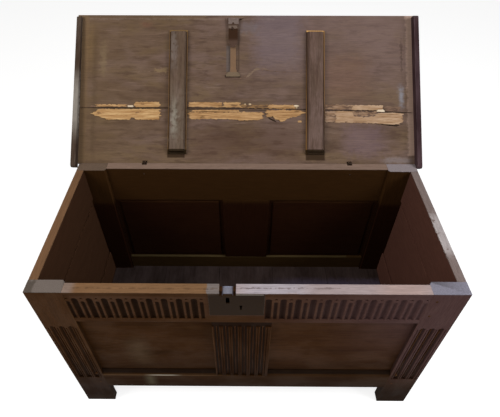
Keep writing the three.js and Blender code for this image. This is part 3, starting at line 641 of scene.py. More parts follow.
def copy_of(node: str, frame: dict) -> Piece:
    """A merged copy of a CAD node's mesh, as a new piece at the origin.

    Args:
        node: The node's name.
        frame: The loaded frame.

    Returns:
        The piece.
    """
    mesh = frame["nodes"][node].data.copy()
    mesh.materials.clear()
    piece = bpy.data.objects.new(f"{node}_dressed", mesh)
    bpy.context.scene.collection.objects.link(piece)
    activate(piece)
    bpy.ops.object.mode_set(mode="EDIT")
    bpy.ops.mesh.select_all(action="SELECT")
    bpy.ops.mesh.remove_doubles(threshold=0.02 * MM)
    bpy.ops.mesh.dissolve_limited(angle_limit=math.radians(1.0))
    bpy.ops.object.mode_set(mode="OBJECT")
    return piece


def ease_arrises(piece: Piece, width: float, least: float) -> None:
    """Rounds the long outer arrises of a piece.

    Args:
        piece: The piece.
        width: The rounding's width.
        least: The shortest edge that is rounded.
    """
    activate(piece)
    bpy.ops.object.mode_set(mode="EDIT")
    bpy.ops.mesh.select_mode(type="EDGE")
    bpy.ops.mesh.select_all(action="DESELECT")
    form = bmesh.from_edit_mesh(piece.data)
    for edge in form.edges:
        if len(edge.link_faces) == 2 and edge.calc_length() > least * MM:
            edge.select_set(edge.calc_face_angle_signed() > math.radians(50.0))
    bmesh.update_edit_mesh(piece.data)
    bpy.ops.mesh.bevel(offset=width * MM, segments=3, profile=0.5, affect="EDGES", clamp_overlap=True)
    bpy.ops.object.mode_set(mode="OBJECT")
    smooth(32)
    even = piece.modifiers.new("even_normals", "WEIGHTED_NORMAL")
    even.keep_sharp = True
    bpy.ops.object.modifier_apply(modifier=even.name)


def bevelled(width: float, place: Matrix) -> Piece:
    """Bevels all edges of the new active piece and moves it to its place.

    Args:
        width: The bevel's width.
        place: The matrix from the origin to its place.

    Returns:
        The piece.
    """
    piece = bpy.context.object
    bpy.ops.object.transform_apply(location=True, rotation=True, scale=True)
    bpy.ops.object.mode_set(mode="EDIT")
    bpy.ops.mesh.bevel(offset=width * MM, segments=2, affect="EDGES")
    bpy.ops.object.mode_set(mode="OBJECT")
    piece.data.transform(place)
    return piece


def small_box(size: Triple, width: float, place: Matrix) -> Piece:
    """A box with bevelled edges.

    Args:
        size: Its size.
        width: The bevel's width.
        place: The matrix from the origin to its place.

    Returns:
        The piece.
    """
    deselect()
    bpy.ops.mesh.primitive_cube_add(size=1)
    bpy.context.object.dimensions = metres(size)
    return bevelled(width, place)


def joined(name: str, parts: list[Piece]) -> Piece:
    """Joins parts into one piece.

    Args:
        name: The piece's name.
        parts: The parts.

    Returns:
        The piece.
    """
    deselect()
    for part in parts:
        part.select_set(True)
    bpy.context.view_layer.objects.active = parts[0]
    bpy.ops.object.join()
    piece = bpy.context.object
    piece.name = name
    return piece


@dataclass
class Coffer:
    """What the whole chest shares: the frame, the places of its bodies and the shared effects."""

    frame: dict
    chest: Matrix
    lid: Matrix
    effects: Effects
    arris: float = 1.6
    pieces: list[Piece] = field(default_factory=list)

    def places(self, body: Body) -> Matrix:
        """The matrix from a body's places to the frame: the hasp and its staple lie on the open lid."""
        return self.lid if body in (Body.LID, Body.HASP) else self.chest

    def dress(
        self, piece: Piece, finish: Finish, body: Body = Body.CHEST, grain: Grain = Grain.ALONG_X, *nodes: str
    ) -> None:
        """Gives a piece its finish, and ties it to its body.

        Args:
            piece: The piece.
            finish: Its finish.
            body: The body that it moves with.
            grain: The way its grain runs.
            *nodes: The nodes that it replaces.
        """
        name = nodes[0] if nodes else piece.name
        home = self.places(body).inverted()
        ground = Ground(f"{name}_{finish.kind}", self.effects, home, piece, grain, seed_of(name))
        piece.data.materials.append(finish.lay(ground))
        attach(piece, body.value)
        if nodes:
            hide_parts(*nodes)
        self.pieces.append(piece)
        LOG.info("%s: %d faces", piece.name, len(piece.data.polygons))

    def timber(
        self, node: str, finish: OakFinish, grain: Grain, body: Body = Body.CHEST, least: float = 24
    ) -> None:
        """Makes a wooden node's piece, eased on its arrises.

        Args:
            node: The node's name.
            finish: Its finish.
            grain: The way its grain runs.
            body: The body that it moves with.
            least: The shortest edge that is eased.
        """
        piece = copy_of(node, self.frame)
        ease_arrises(piece, self.arris, least)
        self.dress(piece, finish, body, grain, node)


def edge_at(points: Points, x: float) -> float:
    """The reach of an edge at one x.

    Args:
        points: The edge's (x, reach) points, in order of x.
        x: The place along the edge.

    Returns:
        The reach, which stays level past both ends.
    """
    for (x_before, reach_before), (x_after, reach_after) in zip(points, points[1:]):
        if x <= x_after:
            share = max((x - x_before) / (x_after - x_before), 0.0)
            return reach_before + (reach_after - reach_before) * share
    return points[-1][1]


def band(start: float, end: float, low: float, high: float) -> tuple[Points, Points]:
    """The upper and lower edge of a scrap that keeps its width."""
    return ((start, high), (end, high)), ((start, low), (end, low))


def line(points: Points, width: float) -> tuple[Points, Points]:
    """The upper and lower edge of a thin line that tapers to its ends.

    Args:
        points: The line's (x, reach) points.
        width: Its width between the ends.

    Returns:
        The two edges.
    """
    halves = [width / 2 if 0 < index < len(points) - 1 else width / 8 for index in range(len(points))]
    upper = tuple((x, reach + half) for (x, reach), half in zip(points, halves))
    lower = tuple((x, reach - half) for (x, reach), half in zip(points, halves))
    return upper, lower


@dataclass(frozen=True)
class Scrap:
    """A thin ragged piece on the lid's underside, between two edges of (x, reach) points."""

    name: str
    edges: tuple[Points, Points]
    finish: TornFinish
    rise: float = 1.8
    ragged: float = 3.0
    fray: float = 12.0
    curl: tuple[Triple, ...] = ()
    step: float = 3.0
    edge_waves: Span = (9, 3.1)
    end_waves: Span = (3.7, 1.5)
    ridge_waves: Span = (24, 2.1)

    def _point(self, along: float, across: float, ends: Span, row: float) -> Vector:
        """One point of the piece's ragged surface.

        Args:
            along: Its share of the length.
            across: Its share of the width.
            ends: The piece's least and greatest x.
            row: Where in the noise the piece lies.

        Returns:
            The point in lid places.
        """

        def torn(x: float, coarse_row: float, fine_row: float) -> float:
            """How far an edge strays from its line at one x, for a raggedness of 1."""
            coarse, fine = (x / wave for wave in self.edge_waves)
            rough = noise.noise(Vector((coarse, row, coarse_row)))
            return rough + 0.6 * noise.noise(Vector((fine, row, fine_row)))

        upper, lower = self.edges
        x = ends[0] + (ends[1] - ends[0]) * along
        low = edge_at(lower, x) + self.ragged * torn(x, 0, 5)
        high = max(edge_at(upper, x) + self.ragged * torn(x, 9, 7), low + 0.6)
        reach = low + (high - low) * across
        coarse, fine = (reach / wave for wave in self.end_waves)
        fray = noise.noise(Vector((coarse, row, 3))) + 0.5 * noise.noise(Vector((fine, row, 8)))
        x += self.fray * fray * (max(0.0, 1 - along * 4) - max(0.0, 1 - (1 - along) * 4))
        long_wave, short_wave = self.ridge_waves
        ridge = 0.5 + 0.5 * noise.noise(Vector((x / long_wave, reach / short_wave, row)))
        height = self.rise * (0.45 + 0.55 * ridge)
        for middle, half, lift in self.curl:
            height += lift * max(0.0, 1 - abs(x - middle) / half) * (1 - across) ** 2
        return Vector((x, reach, height)) * MM

    def build(self, coffer: Coffer) -> None:
        """Makes the piece on the lid.

        Args:
            coffer: What the whole chest shares.
        """
        upper, lower = self.edges
        ends = (min(upper[0][0], lower[0][0]), max(upper[-1][0], lower[-1][0]))
        widest = max(edge_at(upper, x) - edge_at(lower, x) for x, _ in upper + lower)
        columns = max(4, int((ends[1] - ends[0]) / self.step))
        rows = max(2, int(widest / self.step))
        deselect()
        bpy.ops.mesh.primitive_grid_add(x_subdivisions=columns, y_subdivisions=rows, size=2)
        piece = bpy.context.object
        piece.name = self.name
        row = seed_of(self.name) * 0.37
        for vertex in piece.data.vertices:
            vertex.co = self._point((vertex.co.x + 1) / 2, (vertex.co.y + 1) / 2, ends, row)
        wall = piece.modifiers.new("thickness", "SOLIDIFY")
        wall.thickness = (self.rise + 0.3) * MM
        wall.offset = -1
        activate(piece)
        bpy.ops.object.modifier_apply(modifier=wall.name)
        piece.data.transform(coffer.lid)
        smooth(40)
        coffer.dress(piece, self.finish, Body.LID)


@dataclass
class TornWood:
    """The strips of wood torn from both sides of the lid's seam, and the splits in its boards."""

    pale: TornFinish = TornFinish()
    orange: TornFinish = TornFinish((200, 160, 114), (158, 118, 76), (104, 76, 50), 0.58)
    pinkish: TornFinish = TornFinish((190, 160, 132), (160, 126, 94))
    patchy: TornFinish = TornFinish((170, 142, 118), (132, 102, 78), (92, 72, 62), 0.50)
    white: TornFinish = TornFinish((230, 214, 190), (200, 176, 142), scrap_from=0.8)
    dull_white: TornFinish = TornFinish((206, 184, 152), (176, 148, 112), scrap_from=0.7)
    golden: TornFinish = TornFinish((150, 116, 78), (120, 92, 64), (84, 64, 52), 0.5)
    brown: TornFinish = TornFinish((132, 106, 88), (112, 88, 72), (80, 62, 54), 0.55)
    split: TornFinish = TornFinish((52, 38, 28), (44, 32, 24), (34, 25, 18), 0.8)
    rubbed: TornFinish = TornFinish((132, 112, 96), (116, 96, 80), (100, 80, 68), 0.6)

    def above(self) -> list[Scrap]:
        """The pieces above the seam.

        Returns:
            The pieces.
        """
        return [
            Scrap("torn_above_1", band(-560, -443, 209, 216.5), self.orange, 1.2, 2.4),
            Scrap("torn_above_2", band(-441, -421, 207.5, 213.5), self.white, 1.4, 1.5),
            Scrap("torn_above_3", band(-415, -322, 207.5, 226.5), self.pale, ragged=2.2),
            Scrap("torn_above_4", band(-216, -92, 208, 226), self.orange, ragged=2.6),
            Scrap("torn_above_5", band(-86, -26, 208.5, 226), self.pale, ragged=2.4),
            Scrap("torn_above_6", band(-10, -5, 216, 221), self.dull_white, ragged=1.6, fray=2.0),
            Scrap("torn_above_7", band(6, 15, 215.5, 221.5), self.dull_white, ragged=1.6, fray=2.0),
            Scrap("torn_above_8", band(78, 182, 203.5, 217), self.orange, ragged=3.2),
            Scrap("torn_above_9", band(176, 186, 205, 216), self.white, 2.4, 1.2),
            Scrap("torn_above_10", band(-24, 92, 204, 217), self.golden, 1.0, 4.0),
            Scrap("torn_above_11", band(287, 388, 201, 218), self.patchy),
            Scrap("torn_above_12", band(384, 500, 199, 217), self.pinkish, ragged=2.6),
            Scrap("torn_above_13", band(478, 505, 192.5, 200), self.white, 2.6, 1.6),
            Scrap("torn_above_14", band(500, 566, 196, 212), self.brown, 1.0),
            Scrap("torn_above_15", band(-578, -562, 206, 212), self.brown, 0.3, 2.0, 4.0),
        ]

    def below(self) -> list[Scrap]:
        """The pieces below the seam.

        Returns:
            The pieces.
        """
        left = (
            ((-576, 184), (-562, 187), (-546, 199.5), (-440, 200), (-414, 200), (-322, 200)),
            ((-576, 181), (-562, 177), (-536, 168), (-514, 160), (-433, 160), (-426, 168), (-416, 168),
             (-411, 160), (-324, 160)),
        )
        middle = (
            ((-215, 186), (-195, 189), (0, 189), (55, 189)),
            ((-215, 172), (-205, 164), (-60, 163), (-20, 158), (40, 160), (58, 168)),
        )
        near_batten = (
            ((74, 197), (140, 198), (186, 197), (208, 192)),
            ((74, 172), (95, 172), (104, 162), (131, 154), (150, 166), (180, 172), (208, 186)),
        )
        right = (
            ((326, 195), (386, 194), (392, 176), (430, 172), (470, 176), (480, 188), (540, 190), (568, 186)),
            ((326, 152), (420, 151), (480, 149), (520, 145), (556, 145), (572, 158)),
        )
        # Painted shadow: dark sheets under the curled lower edges of two torn pieces
        left_cut = line(((72, 170), (84, 166), (98, 159), (112, 153)), 6.0)
        right_cut = line(((500, 146), (520, 143), (548, 141), (566, 146)), 5.0)
        lip = line(((-206, 189.8), (-120, 190.2), (-26, 190.0)), 1.8)
        # Painted highlight: a pale sheet along the lit lower rim of the right torn piece
        edge_highlight = line(((474, 152), (510, 147), (556, 146.5)), 4.0)
        return [
            Scrap("torn_below_1", left, self.pale, 2.4, curl=((-480, 60, 2.2), (-370, 50, 1.6))),
            Scrap("torn_below_2", band(-206, -26, 190.5, 197.5), self.orange, 1.4, 1.8),
            Scrap("torn_below_3", middle, self.orange, 2.2, curl=((-10, 60, 2.0),)),
            Scrap("torn_below_4", near_batten, self.orange, 2.6, 4.0, curl=((100, 40, 5.0),)),
            Scrap("torn_below_5", band(188, 199, 152, 159), self.orange, 1.2, 1.5),
            Scrap("torn_below_6", band(287, 330, 154, 194), self.patchy, ragged=4.0),
            # Painted shadow under the curled torn edges
            Scrap("undercut_1", left_cut, self.split, 0.3, 1.5),
            Scrap("undercut_2", right_cut, self.split, 0.3, 1.0),
            Scrap("seam_lip_1", lip, self.split, 2.3, 0.8),
            Scrap("torn_below_7", right, self.pinkish, 2.4, 2.6, curl=((520, 60, 6.0),)),
            Scrap("torn_below_8", band(384, 476, 178, 193), self.patchy, 0.9, 4.5),
            # Painted highlight along the torn piece's lower rim
            Scrap("torn_below_9", edge_highlight, self.white, 3.4, 0.8),
        ]

    def splits(self) -> list[Scrap]:
        """The seam's dirt, and the splits, rubbed marks and splinters of the boards.

        Returns:
            The pieces.
        """
        seam = line(
            ((-612, 204), (-560, 204.4), (-300, 205), (-8, 203.4), (210, 201), (328, 197.4), (474, 195.6),
             (606, 190)),
            3.0,
        )
        long_split = line(((-26, 316), (-2, 328), (34, 350), (60, 348), (110, 343), (196, 336)), 1.6)
        long_rub = line(((-8, 320), (10, 333), (34, 352), (50, 354)), 10.0)
        short_rub = line(((36, 352), (62, 353), (82, 350)), 4.0)
        left_split = line(((-440, 340), (-380, 341), (-330, 338), (-302, 326)), 1.6)
        splinter = line(((-34, 545), (-18, 548), (2, 552)), 4.0)
        gouge = line(((-36, 539), (-26, 541), (-14, 545)), 6.0)
        return [
            Scrap("seam_dirt", seam, self.split, 0.25, 0.5),
            Scrap("split_1", long_split, self.brown, 0.25, 2.5),
            Scrap("rubbed_1", long_rub, self.rubbed, 0.3, 5.0),
            Scrap("rubbed_2", short_rub, self.rubbed, 0.3, 2.5),
            Scrap("split_2", left_split, self.rubbed, 0.25, 2.0),
            Scrap("splinter_1", splinter, self.rubbed, 1.6, 1.0),
            Scrap("gouge_1", gouge, self.split, 0.25, 1.0),
        ]

    def build(self, coffer: Coffer) -> None:
        """Makes every torn piece.

        Args:
            coffer: What the whole chest shares.
        """
        for scrap in self.above() + self.below() + self.splits():
            scrap.build(coffer)


@dataclass
class Carcase:
    """The framed and panelled box. Its paints are in places from its own middle."""

    half_width: float = 610
    half_depth: float = 268
    rim: float = 754
    rim_band: float = 2
    carved_depths: Span = (2, 14)
    inside_depth: float = 28
    side_depth: float = 18
    notch: Span = (-76, -30)
    loop_side: float = 375.5

    @property
    def top(self) -> Span:
        """The heights of the rim's top face."""
        return self.rim - self.rim_band, FAR

    def rim_paint(
        self, colour: Shade, x: Span = ALL, strength: float = 1.0, soft: Triple = (4, 1.5, 1.5), **more: float
    ) -> Paint:
        """The colour of wear on the rim's top face, between two places along X; on the pale right-hand rims
        it carries painted sheen too.
        """
        return Paint(colour, strength, x, z=self.top, soft=soft, **more)

    def hollow_shade(self, heights: Span, strength: float) -> Paint:
        """Painted shade in the depths of the carving and the flutes on the front, between two heights."""
        depths = tuple(depth - self.half_depth for depth in self.carved_depths)
        return Paint((30, 18, 11), strength, y=depths, z=heights, soft=3)

    def front_rim(self) -> tuple[Paint, ...]:
        """The patches of wear on top of the front rail, on both sides of the hasp's notch; the pale ones to
        its right are wear and painted sheen.

        Returns:
            The paints.
        """
        left, right = self.notch
        broad = (90, 6, 1.5)
        return (
            self.rim_paint((128, 96, 68), (-FAR, left), gloss=0.1, ragged=2),
            self.rim_paint((138, 122, 114), (-FAR, -478), 0.75, (24, 1.5, 1.5)),
            self.rim_paint((122, 112, 108), (left - 34, left), ragged=12),
            # Pale wear with painted sheen on the rim right of the notch
            self.rim_paint((170, 154, 154), (right, FAR), gloss=0.1, ragged=2),
            self.rim_paint((184, 180, 192), (-10, 160), 0.5, broad, ragged=12),
            self.rim_paint((182, 152, 140), (360, 500), 0.5, broad, ragged=12),
            Paint((104, 88, 86), 0.65, (-30, 260), (-252, -250.5), self.top, 2, 22),
            Paint((84, 62, 46), 0.45, (-560, -80), (-254.5, -253), self.top, 2, 20),
            Paint((132, 134, 152), 0.95, (-66, -40), z=(740.5, 743.5), soft=(8, 2, 2), gloss=0.1),
        )

    def build_front(self, coffer: Coffer, darker_below: Paint) -> None:
        """Makes the stiles and the front wall.

        Args:
            coffer: What the whole chest shares.
            darker_below: The darkening towards the bottom.
        """
        # Painted shade: the chest's inside faces take darker colours for the shade within it
        front = Paint((60, 40, 27), y=(self.inside_depth - self.half_depth, 0))
        back, low_back_shade = self.back_paints()
        shade = Paint((18, 9, 4), 0.8, (-509, 509), (0, self.half_depth - 6), (-FAR, 600), (1.5, 100, 60))
        lands = Paint((98, 71, 55), 0.35, (-490, 490), (-FAR, 1 - self.half_depth), (636, 736), (20, 1.5, 10))
        # Painted shade in the depths of the stiles' flutes
        fluted_shade = self.hollow_shade((150, 600), 0.6)
        purple = Paint((92, 68, 68), 0.8, (400, FAR), FRONT_HALF, (460, FAR), (400, 100, 400))
        purple_low = replace(purple, x=(360, FAR), z=(220, FAR), soft=(400, 100, 300))
        purple_wide = replace(purple, x=(160, FAR), strength=0.5)
        # The right stile grows darker still towards the floor
        feet_darker_below = replace(darker_below, z=(-FAR, 140), soft=(100, 100, 140))
        corner_dirt = Paint((66, 58, 48), 0.6, (-FAR, -588), (-FAR, -228), self.top, (8, 14, 1.5), 24)
        # Painted shade in the gap between the panels and the bottom rail, over the chamfer's upper half
        gap_shade = Paint((24, 15, 9), 0.9, y=FRONT_HALF, z=(236, FAR), soft=(100, 100, 4))
        # Painted highlight: the lit line along the bottom rail's chamfer, brightest at the gleam
        lip = Paint((112, 86, 60), 0.45, (-FAR, -100), FRONT_HALF, (223.5, 230), (200, 100, 2.5))
        gleam = Paint((186, 176, 158), 0.9, (-340, -245), FRONT_HALF, (224, 229.5), (50, 100, 2.5))
        # Painted highlight: a light streak down the bottom rail below the left panel
        streak_highlight = Paint((112, 104, 84), 0.6, (-352, -330), FRONT_HALF, (150, 222), (44, 100, 34))
        glare = Paint((98, 80, 60), 0.5, (-385, -325), FRONT_HALF, (300, 460), (70, 100, 120), 30)
        left_rim = self.rim_paint((114, 104, 98), ragged=3)
        # The right stile's pale rim: wear with painted sheen
        right_rim = self.rim_paint((134, 131, 144), ragged=3)
        left = (front, darker_below, fluted_shade, left_rim, corner_dirt)
        right = (front, purple_low, replace(darker_below, strength=0.6), feet_darker_below, fluted_shade, right_rim)
        coffer.timber("front_left_stile", replace(FRONT_OAK, paints=left), Grain.ALONG_Z)
        coffer.timber("front_right_stile", replace(FRONT_OAK, paints=right), Grain.ALONG_Z)
        # The right back stile's pale rim is wear with painted sheen
        for side, colour in (("left", (102, 85, 72)), ("right", (140, 130, 132))):
            paints = (back, low_back_shade, shade, self.rim_paint(colour))
            coffer.timber(f"back_{side}_stile", replace(FRONT_OAK, paints=paints), Grain.ALONG_Z)
        # Painted shade in the depths of the carved frieze
        carved = (front, lands, self.hollow_shade((600, 745), 0.8), purple_wide, purple, *self.front_rim())
        coffer.timber("front_top_rail", replace(FRONT_OAK, paints=carved), Grain.ALONG_X, least=8)
        rail = OakFinish((56, 33, 13), (72, 44, 18), (84, 55, 24))
        rail = replace(rail, paints=(front, purple, darker_below, gap_shade, lip, gleam, streak_highlight))
        coffer.timber("front_bottom_rail", rail, Grain.ALONG_X)
        muntin = OakFinish((44, 24, 9), (60, 35, 15), (74, 45, 21))
        # Painted shade in the muntin's flutes and its sunk band
        muntin = replace(muntin, paints=(front, darker_below, self.hollow_shade((150, 600), 0.85)))
        coffer.timber("front_muntin", muntin, Grain.ALONG_Z)
        left_panel = OakFinish((50, 29, 12), (66, 40, 18), (76, 48, 23), paints=(front, darker_below, glare))
        coffer.timber("front_left_panel", left_panel, Grain.ALONG_X)
        right_panel = OakFinish((54, 32, 16), (71, 44, 23), (82, 53, 30), paints=(front, purple, darker_below))
        coffer.timber("front_right_panel", right_panel, Grain.ALONG_X)

    def back_paints(self) -> tuple[Paint, Paint]:
        """The back wall's inside, darkened as painted shade, and the deeper painted shade of its lower part.

        Returns:
            The two paints.
        """
        # Painted shade on the back wall's inside, deeper low down
        back = Paint((57, 36, 17), y=(0, self.half_depth - self.inside_depth))
        low_back_shade = Paint((36, 17, 9), 0.9, y=(0, self.half_depth - 10), z=(-FAR, 580), soft=30)
        return back, low_back_shade

    def build_walls(self, coffer: Coffer) -> None:
        """Makes the back wall and both side walls.

        Args:
            coffer: What the whole chest shares.
        """
        back, low_back_shade = self.back_paints()
        # Painted highlight: the lit line along the top of the back bottom rail
        ledge = Paint((80, 68, 44), 0.8, (-FAR, 440), (0, FAR), (234.5, FAR), 3)
        # Painted shade inside the side walls, with the right wall lighter where more light falls
        left = Paint((69, 46, 32), x=(self.side_depth - self.half_width, 0))
        right = Paint((92, 61, 52), x=(0, self.half_width - self.side_depth))
        # Pale wear with painted sheen on the right rail's rim
        pale_wear_and_sheen = Paint((190, 182, 182), 0.7, (550, FAR), (-130, 20), self.top, (20, 60, 1.5), 30)
        walls = (
            ("back_top_rail", Grain.ALONG_X, (back, self.rim_paint((132, 110, 97)))),
            ("back_bottom_rail", Grain.ALONG_X, (back, replace(low_back_shade, colour=(62, 45, 24)), ledge)),
            ("back_muntin", Grain.ALONG_Z, (back, low_back_shade)),
            ("back_left_panel", Grain.ALONG_X, (back, low_back_shade)),
            ("back_right_panel", Grain.ALONG_X, (back, low_back_shade)),
            ("left_top_rail", Grain.ALONG_Y, (left, self.rim_paint((116, 86, 62)))),
            ("left_bottom_rail", Grain.ALONG_Y, (left,)),
            ("left_panel", Grain.ALONG_Y, (left,)),
            ("right_top_rail", Grain.ALONG_Y, (right, self.rim_paint((126, 112, 108)), pale_wear_and_sheen)),
            ("right_bottom_rail", Grain.ALONG_Y, (right,)),
            ("right_panel", Grain.ALONG_Y, (right,)),
        )
        for node, grain, paints in walls:
            coffer.timber(node, replace(FRONT_OAK, paints=paints), grain)

    def build(self, coffer: Coffer) -> None:
        """Makes every wooden piece of the box.

        Args:
            coffer: What the whole chest shares.
        """
        # The front grows darker towards the bottom
        darker_below = Paint((34, 20, 10), 0.9, y=FRONT_HALF, z=(-FAR, 260), soft=(100, 100, 400))
        self.build_front(coffer, darker_below)
        self.build_walls(coffer)
        # Painted reflection: a bluish sheen on the right of the chest's floor
        bluish_sheen = Paint((98, 88, 112), 0.7, (160, 620), (20, 165), (160, FAR), (240, 50, 10), 30)
        floor_oak = OakFinish((44, 34, 31), (60, 48, 45), (76, 64, 62), (70, 58, 54), slot=Slot.DRY_OAK)
        floor_oak = replace(floor_oak, paints=(bluish_sheen,))
        for index in range(1, 6):
            coffer.timber(f"floor_board_{index}", floor_oak, Grain.ALONG_Y)
        self.loose_tongues(coffer, floor_oak)
        self.loop_packing(coffer)
        self.reeds(coffer, darker_below)

    def reeds(self, coffer: Coffer, darker_below: Paint) -> None:
        """The fine bead that runs up the middle of each flute of the stiles and the muntin.

        Args:
            coffer: What the whole chest shares.
            darker_below: The darkening towards the bottom.
        """
        radius, depth, tip, taper = 2.5, 6.6, 2.0, 0.9
        finish = OakFinish((50, 30, 17), (72, 45, 27), (92, 60, 38), paints=(darker_below,))
        rows = {
            "left_stile_reeds": ((-586, -558, -530), 212, 560),
            "right_stile_reeds": ((530, 558, 586), 212, 560),
            "muntin_reeds": ((-91, -63, -35, -7, 21, 49), 232, 566),
        }
        for name, (middles, low, high) in rows.items():
            made = []
            for middle in middles:
                deselect()
                bpy.ops.mesh.primitive_cylinder_add(vertices=10, radius=radius * MM, depth=(high - low) * MM)
                reed = bpy.context.object
                bpy.ops.object.mode_set(mode="EDIT")
                bpy.ops.mesh.select_mode(type="FACE")
                bpy.ops.mesh.select_all(action="DESELECT")
                form = bmesh.from_edit_mesh(reed.data)
                for face in form.faces:
                    face.select_set(abs(face.normal.z) > 0.9)
                bmesh.update_edit_mesh(reed.data)
                bpy.ops.mesh.inset(thickness=taper * MM, depth=tip * MM)
                bpy.ops.object.mode_set(mode="OBJECT")
                reed.data.transform(coffer.chest @ shift(middle, depth - self.half_depth, (low + high) / 2))
                made.append(reed)
            piece = joined(name, made)
            smooth(50)
            coffer.dress(piece, finish, grain=Grain.ALONG_Z)

    def loop_packing(self, coffer: Coffer) -> None:
        """The thin slips of oak on the back of the rail that close its notches below the hinge loops, dark
        pieces standing for the shade there.

        Args:
            coffer: What the whole chest shares.
        """
        size = (24, 1.6, 11.5)
        height = 741.5
        slips = [
            small_box(size, 0.3, coffer.chest @ shift(x, self.half_depth + size[1] / 2, height))
            for x in (-self.loop_side, self.loop_side)
        ]
        coffer.dress(joined("loop_packing", slips), FRONT_OAK)

    def loose_tongues(self, coffer: Coffer, finish: OakFinish) -> None:
        """The strips that close the gaps between the floor boards, let into the edges of both.

        Args:
            coffer: What the whole chest shares.
            finish: The floor's finish.
        """
        width, thickness, short, below = 7, 3, 20, 8
        made = []
        for index in range(1, 5):
            low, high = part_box(f"floor_board_{index}")
            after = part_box(f"floor_board_{index + 1}")[0]
            middle = Vector(((high.x + after.x) / 2, (low.y + high.y) / 2, high.z - below * MM))
            size = (width, (high.y - low.y) / MM - short, thickness)
            made.append(small_box(size, 0.8, Matrix.Translation(middle)))
        coffer.dress(joined("floor_tongues", made), finish, grain=Grain.ALONG_Y)


